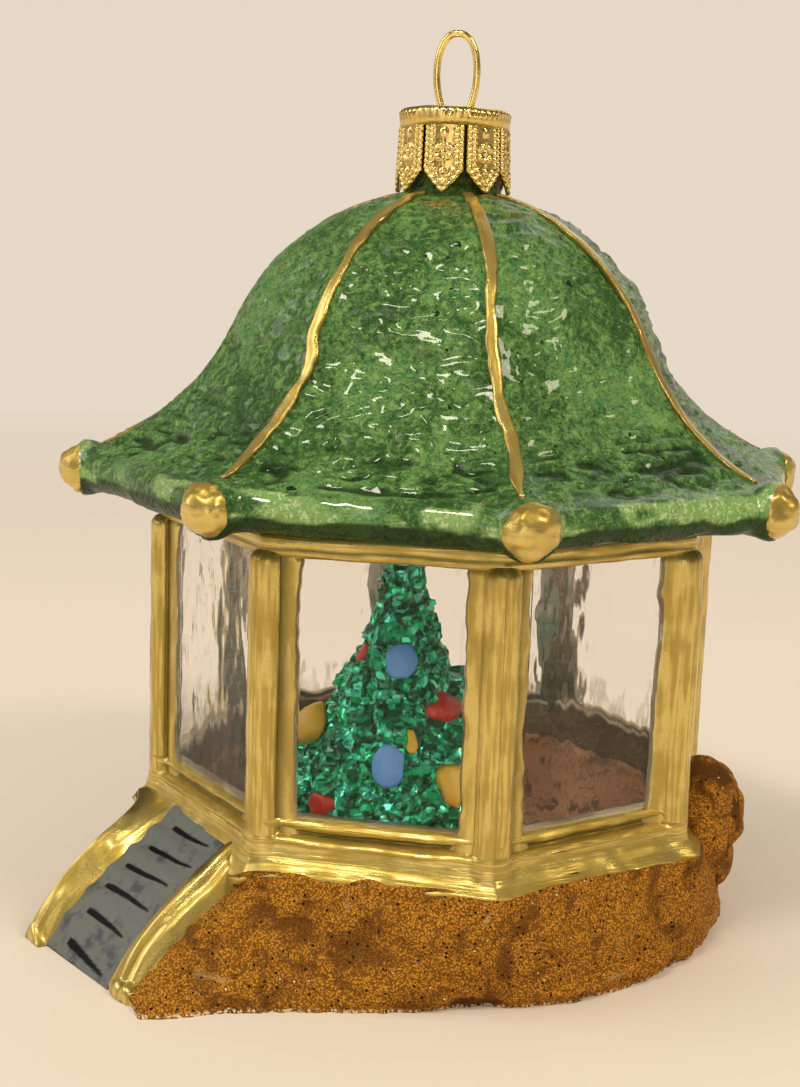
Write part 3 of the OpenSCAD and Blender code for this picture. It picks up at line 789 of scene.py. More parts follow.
def crown(s):
    """The cap's top: a flat disc, a rounded shoulder with a row of beads, and a short side, turned up
    from a profile."""
    shoulder, disc, lobes = 0.65, 10, 54
    turn = np.linspace(math.pi / 2, 0, 16)
    edge = s["cap_r"]
    r = np.concatenate([np.linspace(0.3, edge - 0.7, disc), edge - shoulder + shoulder * np.cos(turn),
                        [edge - 0.02, edge - 0.05, edge - 0.4, edge - 0.4, 0.3]])[:, None]
    z = np.concatenate([np.full(disc, CAP_Z), CAP_Z - shoulder + shoulder * np.sin(turn),
                        CAP_Z - np.array([1.2, 1.9, 1.9, 0.5, 0.5])])[:, None]
    azimuth = ring(6 * lobes)
    beads = 0.10 * np.maximum(0, np.cos(azimuth * lobes)) * np.exp(-((z - CAP_Z + 0.55) / 0.2) ** 2)
    grid = polar(r + beads, azimuth, z)
    grid[..., 2] -= 0.08 * (1 + noise(grid, 2.5, 11)) * (r < edge)
    return patch(grid, deep=0.15 + 0.5 * smooth(CAP_Z - z, 0.7, 1.1))


def neck_piece():
    """The glass neck under the cap: a slightly uneven tube, wider at its foot."""
    z = np.linspace(CAP_Z - 0.5, CROWN_Z - 0.6, 24)[:, None]
    grid = polar(NECK_R + 0.5 * smooth(CROWN_Z + 1.2 - z, 0, 1.8), ring(96), z)
    grid[..., :2] *= 1 + 0.012 * noise(grid, 1.8, 12)[..., None]
    neck = patch(grid, deep=0.75, band=0, crown=0.3, inside=0)
    solid("lacquered_neck", [neck], lacquer(), "glass_neck", slot="neck_glass")


class PAVILION_OT_cap(bpy.types.Operator):
    """Wire loop, embossed cap and the glass neck that it sits on"""
    bl_idname = "pavilion.cap"
    bl_label = "Cap and loop"

    def execute(self, context):
        s = sizes()
        loop_piece(s)
        solid("embossed_cap", [crown(s)] + [petal(k, s) for k in range(1, SIDES + 1)], brass(), "crown_cap")
        neck_piece()
        return {"FINISHED"}


# ---------------------------------------------------------------- roof

def arc(centre, radius, start, stop, count):
    """Points of an arc in a plane through the axis, as columns of distance and height."""
    a = np.radians(np.linspace(start, stop, count))
    return np.stack([centre[0] + radius * np.cos(a), centre[1] + radius * np.sin(a)], -1)


def bell(s):
    """Profile along a hip, from the crown to the eave: a dome above the waist and a cove below it, tangent
    to each other and to the roll of the eave. Returns it, the roll, and the line back inside the glass."""
    slope, glass = 24, 1.3
    n = np.array([math.cos(math.radians(slope)), math.sin(math.radians(slope))])
    waist = np.array([s["waist_r"], EAVE_Z + s["waist_h"]])
    eave = np.array([KNOB_AT - 0.8, EAVE_Z])
    roll = s["eave_d"] / 2
    up = waist - [NECK_R, CROWN_Z]
    dome = up @ up / (2 * up @ n)
    dome_c = waist - dome * n
    down = waist - eave
    cove = (down @ down - roll * roll) / (2 * (roll - down @ n))
    cove_c = waist + cove * n
    start = math.degrees(math.atan2(CROWN_Z - dome_c[1], NECK_R - dome_c[0]))
    turn = math.degrees(math.atan2(*(cove_c - eave)[::-1]))
    outer = np.concatenate([arc(dome_c, dome, start, slope, 68),
                            arc(cove_c, cove, 180 + slope, 180 + turn, 50)[1:]])
    round_ = arc(eave, roll, turn, -90, 22)[1:]
    under = np.array([[eave[0] - 3, EAVE_Z - roll - 0.2], [(RAIL_OUT + 0.4) / math.cos(HALF), SOFFIT_Z],
                      [RAIL_IN / math.cos(HALF), SOFFIT_Z], [RAIL_IN / math.cos(HALF), SOFFIT_Z + 1.4]])
    inner = np.concatenate([arc(cove_c, cove + glass, 180 + turn - 14, 180 + slope, 6),
                            arc(dome_c, dome - glass, slope, start + 2, 8)])
    return outer, round_, np.concatenate([under, inner])


def roundness(radius):
    """How far the roof's plan has turned from an octagon to a circle, at a distance from the axis."""
    return 0.7 * (1 - smooth(radius, 10, 33))


def creased(grid, path):
    """Relief of the creased glass, about 0 to 1.3: furrows where a warped noise crosses zero, and two finer
    noises, all drawn out sideways."""
    spread = together(grid[..., 0] * 0.45, grid[..., 1] * 0.45, path * 1.15)
    spread = spread + 0.7 * np.stack([noise(spread, 2.6, 20 + i) for i in range(3)], -1)
    relief = 0.45 * smooth(np.abs(noise(spread, 1.6, 21)), 0.0, 0.5)
    for size, share, seed in ((1.1, 0.33, 23), (0.65, 0.22, 25)):
        relief = relief + share * (0.55 + 1.1 * noise(spread, size, seed))
    return relief


def knob_seats(grid):
    """The grid pushed out of a ball at each corner, so that it swells round the knobs. The ball is smaller
    on its outer side, where the knob shows."""
    for k in range(1, SIDES + 1):
        off = grid - polar(KNOB_AT, corner_azimuth(k), EAVE_Z)
        away = np.maximum(np.linalg.norm(off, axis=-1), 1e-6)
        outer_side = off @ directions(corner_azimuth(k))[0] / away
        wanted = KNOB_R * (1.0 - 0.16 * smooth(outer_side, 0.12, 0.3))
        inside = wanted - away
        push = 0.5 * (inside + np.sqrt(inside ** 2 + 0.12)) * smooth(inside + 0.9, 0, 0.5)
        grid = grid + off * (push / away)[..., None]
    return grid


def eave_blocks(azimuth, path, foot):
    """Where the pale blocks with ragged ends, a painted sheen on the eave's roll, lie along the eave."""
    ragged = noise(polar(22, azimuth, path), 1.4, 41)
    blocks = smooth(noise(polar(12, azimuth, 0), 3.4, 43) + 0.25 * ragged, -0.05, 0.05)
    drift = 0.5 * noise(polar(30, azimuth, 0), 3.0, 44) + 0.3 * ragged
    return blocks * smooth(path - foot + drift, 0.0, 0.25) * smooth(foot + 2.7 - path + drift, 0, 0.25)


def roof_piece(s):
    """The bell swept round an octagon that turns rounder towards the crown, creased along its normals but
    calm beside the ribs. path is the distance from the crown along the profile, and the roll of the eave
    runs from foot to under."""
    outer, roll, rest = bell(s)
    line = np.concatenate([outer, roll, rest])
    radius, z = line[:, :1], line[:, 1:]
    path = np.concatenate([[0], np.cumsum(np.linalg.norm(np.diff(line, axis=0), axis=1))])[:, None]
    foot, under = path[len(outer)], path[len(outer) + len(roll)]
    azimuth = ring(460)[None]
    plan = (1 - roundness(radius)) * octagon(azimuth, math.cos(HALF)) + roundness(radius) * 0.985
    grid = polar(radius * plan, azimuth, z)
    relief = creased(grid, path)
    shown = smooth(under - 1.5 - path, 0, 2.5) * smooth(path, 0.2, 1.5)
    above = smooth(foot - path, 0.4, 2.4)
    share = (azimuth / (2 * HALF) - 0.5) % 1.0
    beside = np.minimum(share, 1 - share) * 2 * HALF * radius
    crinkle = shown * (0.18 + 0.82 * above) * (1 + 0.6 * smooth(path, foot - 16, foot - 5))
    crinkle = crinkle * (1 - 0.8 * smooth(2.2 - beside, 0, 1.2) * above)
    height = s["wrinkle"] * (crinkle * 1.6 * (relief - 0.6) + 0.7 * shown * fractal(grid, 6.0, 31, 2))
    grid = knob_seats(grid - normals(grid, True) * height[..., None])
    # painted sheen: where the pale blocks lie on the eave's roll
    band = eave_blocks(azimuth, path, foot)
    # painted shade: ledge darkens the groove where the roof meets the eave's roll
    ledge = smooth(path - foot, -0.9, -0.2) * smooth(foot + 0.6 - path, 0, 0.4) * (1 - band)
    ledge = 0.7 * smooth(noise(grid, 1.6, 47), -0.4, 0.2) * ledge
    # painted shade: deep darkens the creases of the relief, and the eave's underside goes near black
    deep = np.clip(1.1 - 1.6 * relief, 0, 1) * crinkle * (0.5 + 0.5 * smooth(foot - path, 14, 5))
    deep = np.maximum(np.maximum(deep, ledge), smooth(path, foot + 2.1, foot + 2.9))
    crown_mark = smooth(14 - radius, 0, 4) * smooth(noise(grid, 3.0, 45), -0.3, 0.4)
    gloss = np.clip(0.5 + 0.6 * smooth(path, foot - 1.5, foot), 0, 1)
    gloss = gloss * (1 - 0.9 * smooth(path, foot + 1.6, foot + 2.4))
    skin = patch(grid, wrap_rows=True, deep=deep, band=band, crown=crown_mark, gloss=gloss,
                 inside=(path > under) * 1.0)
    solid("wrinkled_roof", [skin], lacquer(), "roof_shell")


# how far a rib's upper part strays sideways from its hip, in millimetres
RIB_LEAN = {1: -3.8, 4: 0.4, 5: 2.4}


def rib_patch(k, s):
    """A gilded rib: a low strip down a hip, that wanders a little, varies in width and thins at its foot."""
    outer, _, _ = bell(s)
    line = outer[(outer[:, 0] > PETAL_R - 0.8) & (outer[:, 0] < KNOB_AT - 1.5)]
    step = np.linspace(0, len(line) - 1, 120)
    line = np.stack([np.interp(step, np.arange(len(line)), column) for column in line.T], -1)
    way = np.gradient(line, axis=0)
    pace = np.linalg.norm(way, axis=1, keepdims=True)
    path = np.cumsum(pace)
    radius, z = line.T
    spot = together(path, 9.0 * k, 0)
    wander = 0.5 * noise(spot, 7.0, 51) + 0.16 * noise(spot, 2.0, 52)
    wander = wander + RIB_LEAN.get(k, 0.0) * smooth(path[-1] - path, 2, 12)
    half = s["rib_w"] / 2 * (1 + 0.22 * noise(spot, 2.6, 53) + 0.12 * noise(spot, 0.9, 54))
    half = half * (1 - 0.55 * smooth(path, path[-1] - 3.5, path[-1]))
    azimuth = corner_azimuth(k) + wander / radius
    plan = (1 - roundness(radius)) * octagon(azimuth, math.cos(HALF)) + roundness(radius)
    centre = polar(radius * plan, azimuth, z)[:, None]
    away, aside = directions(corner_azimuth(k))
    out = (way[:, :1] * np.array([0, 0, 1]) - way[:, 1:] * away) / pace
    turn = np.linspace(0, 2 * math.pi, 14, endpoint=False)
    c, d = np.cos(turn), np.abs(np.sin(turn))
    rise = np.where(np.sin(turn) > 0, s["rib_h"] * d ** 0.45, -0.5 * d)
    rise = rise * (1 + 0.25 * noise(spot, 1.6, 55)[:, None]) + 0.08
    grid = centre + (half[:, None] * c)[..., None] * aside + rise[..., None] * out[:, None]
    # painted shade: deep darkens the rib's edges, where it meets the roof
    return patch(grid, along=path[:, None], across=2 * turn[None] / math.pi, deep=np.abs(c)[None] ** 8 * 0.7,
                 worn=0.3, inside=0)


def knob_piece(k):
    """A gilded corner: the outer side of a ball, with lumps and a ragged edge, sunk in the roof's corner."""
    away, _ = directions(corner_azimuth(k))
    tilt, turn, way = ball(0.04, 40, 56)
    lumps = 0.085 * noise(way + k, 0.7, 60 + k) + 0.035 * noise(way + k, 0.25, 70 + k)
    rag = 0.14 * noise(way + k, 0.5, 80) + 0.08 * noise(way + k, 0.2, 81)
    radius = KNOB_R * np.minimum(0.92 + lumps, 1) * (1 - 0.2 * smooth(rag - way @ away, -0.16, 0.02))
    grid = polar(KNOB_AT, corner_azimuth(k), EAVE_Z) + radius[..., None] * way
    # painted shade: deep darkens the hollows between the lumps
    body = patch(grid, along=turn, across=tilt, deep=np.clip(-lumps * 5, 0, 0.5), worn=0, inside=0)
    solid(f"gilded_knob_{k}", [body], gilding(), f"eave_knob_{k}")


class PAVILION_OT_roof(bpy.types.Operator):
    """Wrinkled green roof, its gilded ribs and the knobs at its corners"""
    bl_idname = "pavilion.roof"
    bl_label = "Roof"

    def execute(self, context):
        s = sizes()
        roof_piece(s)
        solid("gilded_ribs", [rib_patch(k, s) for k in range(1, SIDES + 1)], gilding(), "roof_ribs")
        for k in range(1, SIDES + 1):
            knob_piece(k)
        return {"FINISHED"}


# ---------------------------------------------------------------- walls

def post_piece(k, s):
    """A corner column and the strip on each side of it: the plan is the furthest of a circle and two
    rounded bars, with a groove beside one of them, drawn up in a slightly wavy line. The rear of a post is
    paler beyond a narrow middle."""
    away, aside = directions(corner_azimuth(k))
    z = np.linspace(SILL_Z - 0.2, POST_Z, 72)[:, None]
    turn = ring(80)[None] - math.pi
    wall = math.pi / 2 + HALF
    power = 2.6
    reach = WALL_R * math.sin(HALF) - PANE_HALF
    place = together(turn * 2, 20 * k, z)
    radius = np.full(place.shape[:2], s["column_d"] / 2)
    for side in (-1, 1):
        off = turn - side * wall
        edge = together(7 * side, 20 * k, z)
        far = reach + 0.25 * noise(edge, 3.2, 91) + 0.14 * noise(edge, 1.2, 92)
        far = far + 0.5 * np.exp(-(HEAD_Z - z) / 1.3) + 0.35 * np.exp(-(z - PANE_Z) / 1.2)
        thick = s["frame_t"] / 2 + 0.12
        bar = (np.abs(np.cos(off)) / far) ** power + (np.abs(np.sin(off)) / thick) ** power
        radius = np.maximum(radius, np.where(np.cos(off) > 0, bar ** (-1 / power), 0))
    groove = np.exp(-((turn - wall + math.radians(27)) / math.radians(8)) ** 2)
    radius = radius - 0.35 * groove + 0.07 * noise(place, 3.0, 93) + 0.02 * noise(place, 0.8, 95)
    radius = radius * np.sqrt(1 - np.clip((z - POST_Z + 1.3) / 1.35, 0, 0.98) ** 2)
    sway = 0.12 * noise(together(0, 9 * k, z), 6.0, 94)
    out, over = WALL_R + radius * np.cos(turn), sway + radius * np.sin(turn)
    grid = out[..., None] * away + over[..., None] * aside
    grid[..., 2] = z
    narrow = 1.5 - 0.5 * smooth(z, PANE_Z + 5, HEAD_Z) + 1.2 * np.exp(-(z - PANE_Z) / 3)
    pale = smooth(np.abs(radius * np.sin(turn)) + 0.35 * noise(place, 1.6, 96), narrow - 0.3, narrow + 0.3)
    # painted shade: deep darkens the groove beside the column
    post = patch(grid, along=z, across=turn * s["column_d"] / 2, deep=groove, worn=0.8,
                 inside=smooth(-np.cos(turn), 0.15, 0.45), pale=pale)
    solid(f"gilded_post_{k}", [post], gilding(), f"corner_post_{k}")


def head_rail_piece():
    """The band over the panes: a rounded oblong with a groove along its face, carried round the octagon.
    Its face and edges wave."""
    turn = np.linspace(0, 2 * math.pi, 44, endpoint=False)[:, None]
    azimuth = ring(440)[None]
    power = 3.5
    c, d = np.cos(turn), np.sin(turn)
    shape = (np.abs(c) ** power + np.abs(d) ** power) ** (-1 / power)
    reach = (RAIL_IN + RAIL_OUT) / 2 + (RAIL_OUT - RAIL_IN) / 2 * c * shape
    z = (HEAD_Z + SOFFIT_Z) / 2 + (SOFFIT_Z - HEAD_Z) / 2 * d * shape
    face = smooth(c, 0.0, 0.45)
    middle = HEAD_Z + 0.9 + 0.14 * noise(polar(26, azimuth, 0), 5.0, 104)
    groove = np.exp(-((z - middle) / 0.2) ** 2) * face
    place = polar(26, azimuth, z)
    reach = reach - 0.12 * groove + 0.1 * face * (noise(place, 4.0, 101) + 0.5 * noise(place, 1.3, 102))
    z = z + 0.1 * (1.2 * noise(place, 5.5, 103) + 0.5 * noise(place, 1.6, 105)) * np.abs(d)
    # painted shade: deep darkens the groove along the face
    band = patch(polar(octagon(azimuth, reach), azimuth, z), wrap_rows=True, along=azimuth * 27, across=z,
                 deep=groove, worn=1.0, inside=smooth(-c, 0.1, 0.5))
    solid("gilded_head_rail", [band], gilding(), "head_rail")


def skirt_profile(z):
    """Distance of the skirt's face from the axis at each height: a bead under the panes, a trough, the
    sill's edge, and a hollow slope out to the plinth's rim."""
    bead = 28.2
    knots = [(PANE_Z + 0.15, bead - 1.0), (PANE_Z - 0.05, bead - 0.35), (PANE_Z - 0.45, bead),
             (PANE_Z - 0.85, bead - 0.3), (PANE_Z - 1.15, bead - 0.7), (PANE_Z - 1.4, bead - 0.6),
             (PANE_Z - 1.7, bead + 0.2), (SILL_Z + 0.1, SILL_OUT + 0.05), (SILL_Z - 0.25, SILL_OUT - 0.05),
             (SILL_Z - 0.7, SILL_OUT + 0.05), (SILL_Z - 1.4, SILL_OUT + 0.4),
             (PLINTH_Z + 0.8, SILL_OUT + 0.9), (PLINTH_Z + 0.4, PLINTH_OUT - 0.5), (PLINTH_Z, PLINTH_OUT),
             (PLINTH_Z - 0.3, PLINTH_OUT - 0.1), (PLINTH_Z - 0.7, PLINTH_OUT - 1.0)]
    height, out = np.array(knots[::-1]).T
    return np.interp(z, height, out)


def skirt_piece(s):
    """Sill and plinth in one melted skirt: at each height the further of the octagon and of a circle about
    each corner, blended as a soft maximum. It draws back over the flight, and its rim dips beside it."""
    z = np.linspace(PANE_Z + 0.1, PLINTH_Z - 0.7, 66)[:, None]
    azimuth = ring(740)[None]
    spot = polar(27, azimuth, 0)
    lift = z + 0.12 * noise(spot, 5.5, 111) + 0.07 * noise(spot, 1.7, 112)
    lift = lift + (z - lift) * smooth(z, PANE_Z - 0.2, PANE_Z + 0.1)
    lift = lift + 0.22 * fractal(spot, 3.0, 115, 2) * smooth(PLINTH_Z + 1.2 - z, 0, 1.0)
    wall = octagon(azimuth, skirt_profile(lift))
    turn = azimuth % (2 * HALF) - HALF
    thick = s["column_d"] / 2 - 0.03 + 0.12 * smooth(SILL_Z + 1.0 - z, 0, 2.0)
    off = WALL_R * np.sin(turn)
    column = WALL_R * np.cos(turn) + np.sqrt(np.clip(thick ** 2 - off ** 2, 0, None))
    column = column - 5 * np.clip(np.abs(off) - thick, 0, None)
    blend = 0.32
    radius = wall + blend * np.logaddexp(0, (column - wall) / blend)
    beside = np.abs(radius * np.sin(azimuth - STAIR_TURN) - 0.4) + 20 * (np.cos(azimuth) < 0)
    above = smooth(6.2 - beside, 0, 0.7) * smooth(PLINTH_Z + 1.0 - z, 0, 0.5)
    radius = radius - above * np.clip(radius - STAIR_START + 0.1, 0, None)
    place = polar(radius, azimuth, z)
    radius = radius + 0.10 * noise(place, 3.4, 113) + 0.05 * noise(place, 1.3, 114)
    ahead = (azimuth + math.pi) % (2 * math.pi) - math.pi - STAIR_TURN
    along_side = PLINTH_OUT * np.tan(np.clip(ahead, -1, 1))
    dip = 1.7 * np.exp(-((along_side - 9.4) / 2.4) ** 2) + 0.9 * np.exp(-((along_side + 11) / 2) ** 2)
    outside = polar(radius, azimuth, z - dip * smooth(SILL_Z - 1 - z, 0, 2.2))
    back = polar(octagon(azimuth, RAIL_IN - 0.2), azimuth,
                 np.linspace(PLINTH_Z - 0.7, PANE_Z + 0.1, 6)[:, None])
    # painted shade: the trough under the bead is marked deep, which darkens it towards olive
    trough = np.exp(-((lift - PANE_Z + 1.22) / 0.26) ** 2) * smooth(wall - column, -0.3, 0.4)
    plain = np.zeros(back.shape[:2])
    skirt = patch(np.concatenate([outside, back]), wrap_rows=True, worn=1.0,
                  along=np.concatenate([azimuth * 27 + 0 * z, plain]),
                  across=np.concatenate([2 * z + 0 * azimuth, plain]),
                  deep=np.concatenate([trough, plain]),
                  inside=np.repeat([0.0, 1.0], [len(outside), len(back)])[:, None])
    solid("gilded_skirt", [skirt], gilding(), "sill_rail", "plinth_band")


class PAVILION_OT_walls(bpy.types.Operator):
    """Gilded columns, head rail, and the skirt of sill and plinth"""
    bl_idname = "pavilion.walls"
    bl_label = "Gilded walls"

    def execute(self, context):
        s = sizes()
        for k in range(1, SIDES + 1):
            post_piece(k, s)
        head_rail_piece()
        skirt_piece(s)
        return {"FINISHED"}


# ---------------------------------------------------------------- panes

# how high the brown streaks, partly paint smudges and partly painted reflections, stand at a pane's foot,
# and how strong its dashes are, where they differ from the rest
SMUDGE_AND_REFLECTION_HIGH = {1: 5.2, 2: 0.0, 3: 0.0}
SMUDGE_AND_REFLECTION_DASHES = {1: 0.5, 2: 0.2, 3: 0.35}


def pane_piece(k, s):
    """A rippled sheet: each face is flat but for noise drawn out upwards. Brown streaks, partly paint smudges
    and partly painted reflections of the dark parts behind, stand at the foot in uneven spikes and hang
    along the edges in short dashes."""
    half = PANE_HALF + 0.35
    x, front = section(52, 52, -half, half, 0.0)
    z = np.linspace(PANE_Z - 0.3, HEAD_Z + 0.3, 76)[:, None]
    spot = together(x, 30.0 * k + 9 * front, z * 0.4)
    ripple = noise(spot, 1.9, 131) + 0.5 * noise(spot, 0.8, 132)
    depth = np.where(front, 1, -1) * GLASS_T / 2 + s["ripple"] * ripple
    away, aside = directions(side_azimuth(k))
    grid = (WALL_A + depth)[..., None] * away + x[..., None] * aside
    grid[..., 2] = z
    line = together(x * 1.3, 40 * k, 0)
    # the spikes at the foot, the tall ones on the right of pane 2 and the dashes along the edges are partly
    # paint smudges and partly painted reflections
    tall = SMUDGE_AND_REFLECTION_HIGH.get(k, 3.0) + 15 * (k == 2) * smooth(x, half - 5.0, half - 1.5)
    spikes = tall * (0.75 + 0.9 * noise(line, 1.6, 133) + 0.5 * noise(line, 0.7, 134))
    foot = smooth(spikes - (z - PANE_Z), -0.3, 0.5) * (0.62 + 0.4 * noise(spot * [1, 1, 2], 0.9, 135))
    foot = foot * (0.5 if k == 2 else 1)
    near = smooth(np.abs(x), half - 2.6, half - 0.6) + 0.3
    dashes = smooth(noise(together(x, 30.0 * k, z * 0.3), 0.55, 136) * near, 0.56, 0.68)
    soot = np.where(front, np.clip(foot * 0.9 + dashes * SMUDGE_AND_REFLECTION_DASHES.get(k, 0.4), 0, 1), 0)
    solid(f"rippled_pane_{k}", [patch(grid, soot=soot)], clear_glass(), f"glass_pane_{k}")


class PAVILION_OT_panes(bpy.types.Operator):
    """Rippled clear glass in the eight sides"""
    bl_idname = "pavilion.panes"
    bl_label = "Panes"

    def execute(self, context):
        s = sizes()
        for k in range(1, SIDES + 1):
            pane_piece(k, s)
        return {"FINISHED"}


# ---------------------------------------------------------------- stair

def turned(x, y, z):
    """Points x to the side and y out over the stair, turned a little towards +X."""
    c, d = math.cos(STAIR_TURN), math.sin(STAIR_TURN)
    return together(c * x + d * y, d * x - c * y, z)


def flight_run(x):
    """Length of the flight at x: longest on its left."""
    return STAIR_RUN + 0.3 - 0.07 * np.clip(x, -6, 9)


def flight_z(y, x=0):
    """Height of the flight: one less the 1.1th power of the share of its run, to the power 0.75."""
    share = np.clip((y - STAIR_START) / flight_run(x), 0, 1)
    return STAIR_TOP * (1 - share ** 1.1) ** 0.75


def flight_y(z, x=0):
    """Distance at which the flight has height z."""
    rise = np.clip(z / STAIR_TOP, 0, 1)
    return STAIR_START + flight_run(x) * (1 - rise ** (1 / 0.75)) ** (1 / 1.1)


def flight_half(y, s):
    """Half the flight's width at distance y: it widens a little outwards."""
    return s["flight_w"] / 2 + 0.6 * (y - STAIR_START) / STAIR_RUN


def right_width(y, s):
    """Width of the wall on the right at distance y: it flares at its foot."""
    share = np.clip((y - STAIR_START) / STAIR_RUN, 0, 1)
    return s["wall_w"] + 0.9 + 1.2 * share ** 8


def down_to_foot(before):
    """Shares of a side wall's length, from a little before its start, closer together towards its foot."""
    return np.concatenate([np.linspace(-before, 0, 9)[:-1], np.sin(np.linspace(0, math.pi / 2, 88))])[:, None]


def flight_piece(s):
    """The painted ramp, closed down to the ground, with a slight swell for each step and a lip at its head.
    Each step is a bent line that thins out to the right."""
    run = np.linspace(0, 1, 170)[:, None]
    u, top = section(122, 6)
    left, right = -5.6 - 0.6 * run, flight_half(STAIR_START + STAIR_RUN * run, s) + s["widening"]
    x = left + u * (right - left)
    y = STAIR_START + 0.05 + flight_run(x) * run
    count = bpy.context.scene.pavilion_sizes.strokes
    first = 1.75
    pitch = (STAIR_RUN - 1.9) / max(count - 1, 1)
    swell = -0.14 * np.cos((y - STAIR_START - first - 0.05) / pitch * 2 * math.pi)
    lip = 0.6 * np.exp(-(y - STAIR_START) / 1.5)
    z = flight_z(y, x) + swell + 0.12 + lip + 0.07 * noise(together(x, y, 0), 2.5, 141)
    line = 0 * x
    for i in range(count):
        start, stop = -2.9 - 0.5 * min(i, count - 1 - i), 4.3 + 0.6 * (i % 2)
        share = np.clip((x - start) / (stop - start), 0, 1)
        middle = STAIR_START + first + pitch * i - 0.35 * share + 0.14 * np.sin(2.6 * share + i)
        width = 0.21 * (1 - share) ** 0.7 * (1 - 0.5 * np.exp(-share * 20)) + 0.05
        within = smooth(x, start - 0.1, start + 0.1) * smooth(stop - x, -0.2, 0.3)
        line = np.maximum(line, smooth(width - np.abs(y - middle), -0.05, 0.03) * within)
    ramp = patch(turned(x, y, np.where(top, np.maximum(z, 0.02), 0.02)), line=np.where(top, line, 0))
    solid("painted_flight", [ramp], slate(), "stair_flight")


def left_wall(s):
    """The wall on the left: a bank that leans up from the flight to a crest, then drops to the ground. The
    crest falls as one less the 1.7th power of the share of its length, to the power 0.75, down to a blunt
    foot. It fans out where it leaves the plinth, less and less towards the ground."""
    run = down_to_foot(0.13)
    share = np.clip(run, 0, 1)
    y = STAIR_START + (LEFT_REACH - 0.35 - STAIR_START) * run
    u, over = section(60, 6)
    ridge = 0.8
    crest = np.maximum(LEFT_TOP * (1 - share ** 1.7) ** 0.75, 1.9 * (1 - share ** 40) ** 0.5)
    foot = np.minimum(flight_z(y, -6) + 0.1, crest)
    rise = 1 - (1 - np.clip(u / ridge, 0, 1)) ** 1.15
    drop = np.sqrt(np.clip(1 - np.clip((u - ridge) / (1 - ridge), 0, 1) ** 2.2, 0, 1))
    fan = 6.5 * np.exp(-np.clip(y - STAIR_START - 1, 0, None) / 1.9)
    fan = fan * np.clip(u - 0.3, 0, 1) / 0.7 * np.where(over, drop ** 2, 0)
    x = -(flight_half(y, s) + 0.2 + u * (s["wall_w"] + 0.3) + fan)
    z = np.where(u < ridge, foot + (crest - foot) * rise, crest * drop)
    spot = together(x, y, 0)
    z = z + (0.22 * noise(spot, 2.6, 151) + 0.09 * noise(spot, 1.0, 152)) * np.sin(np.clip(u, 0, 1) * math.pi)
    z = np.where(over, np.clip(z, 0.03, None), 0.02)
    # deep darkens towards olive at the crest's upper end and along the outer side down to the ground
    olive = smooth(0.34 - share, 0, 0.12) * smooth(u, 0.45, 0.75)
    umber = smooth(u, 0.84, 0.93)
    deep = np.where(over, np.clip(0.8 * olive + 0.5 * umber, 0, 1), 0)
    bank = patch(turned(x, y, z), along=y, across=u * 2, deep=deep, worn=0.8, inside=0)
    solid("gilded_wall_left", [bank], gilding(), "stair_wall_left")


def right_wall(s):
    """The wall on the right: a low bank, roped by ridges that fan out from the plinth. Its crest stands a
    little over the flight, its outer side goes down to the sand, and it ends in a blunt lobe."""
    run = down_to_foot(0.14)
    share = np.clip(run, 0, 1)
    y = STAIR_START + (STAIR_REACH + 0.1 - STAIR_START) * run
    u, over = section(72, 6)
    ridge = 0.25
    x = flight_half(y, s) + s["widening"] - 0.2 + u * (right_width(y, s) + 0.5)
    y = y - 0.09 * (x - 8.5) ** 2 * share ** 6
    lift = 0.95 * (1 - share ** 8)
    inner = np.sin(np.clip(u / ridge, 0, 1) * math.pi / 2) ** 0.7 * lift - lift
    outer = -(SIDE_DROP + lift + 0.3) * (np.clip(u - ridge, 0, 1) / (1 - ridge)) ** 1.7
    blunt = 1.5 * np.sqrt(np.clip(1 - share ** 40, 0, 1)) * np.sqrt(np.clip(1 - (2 * u - 1) ** 6, 0, 1))
    z = np.maximum(flight_z(y, x) + lift + np.where(u < ridge, inner, outer), blunt)
    z = z - smooth(STAIR_START + 1.6 - y, 0, 1) * smooth(u, 0.45, 0.8)
    middle = np.sin(np.clip(u, 0, 1) * math.pi) ** 0.5
    strand = u * (1 + 0.3 * share) + 0.05 * noise(together(y, 0, 0), 3.0, 155)
    rope = np.cos(strand * 5.0 * math.pi)
    spot = together(x, y, 0)
    z = z + (0.14 * rope + 0.13 * noise(spot, 3.0, 153) + 0.05 * noise(spot, 1.1, 154)) * middle
    z = np.where(over, np.clip(z, 0.03, RIGHT_TOP + 0.3), 0.02)
    # painted shade: the hollows between the ropes darken; olive also darkens the upper end on the flight's
    # side
    hollow = np.clip(-rope, 0, 1) ** 3 * 0.5 * middle
    olive = smooth(0.40 - share, 0, 0.12) * smooth(0.45 - u, -0.1, 0.15)
    deep = np.where(over, np.clip(hollow + 0.8 * olive, 0, 1), 0)
    bank = patch(turned(x, y, z), along=y, across=u * 3, deep=deep, worn=0.5, inside=0)
    solid("gilded_wall_right", [bank], gilding(), "stair_wall_right")


class PAVILION_OT_stair(bpy.types.Operator):
    """Painted flight and its gilded side walls"""
    bl_idname = "pavilion.stair"
    bl_label = "Stair"

    def execute(self, context):
        s = sizes()
        flight_piece(s)
        left_wall(s)
        right_wall(s)
        return {"FINISHED"}


# ---------------------------------------------------------------- rock

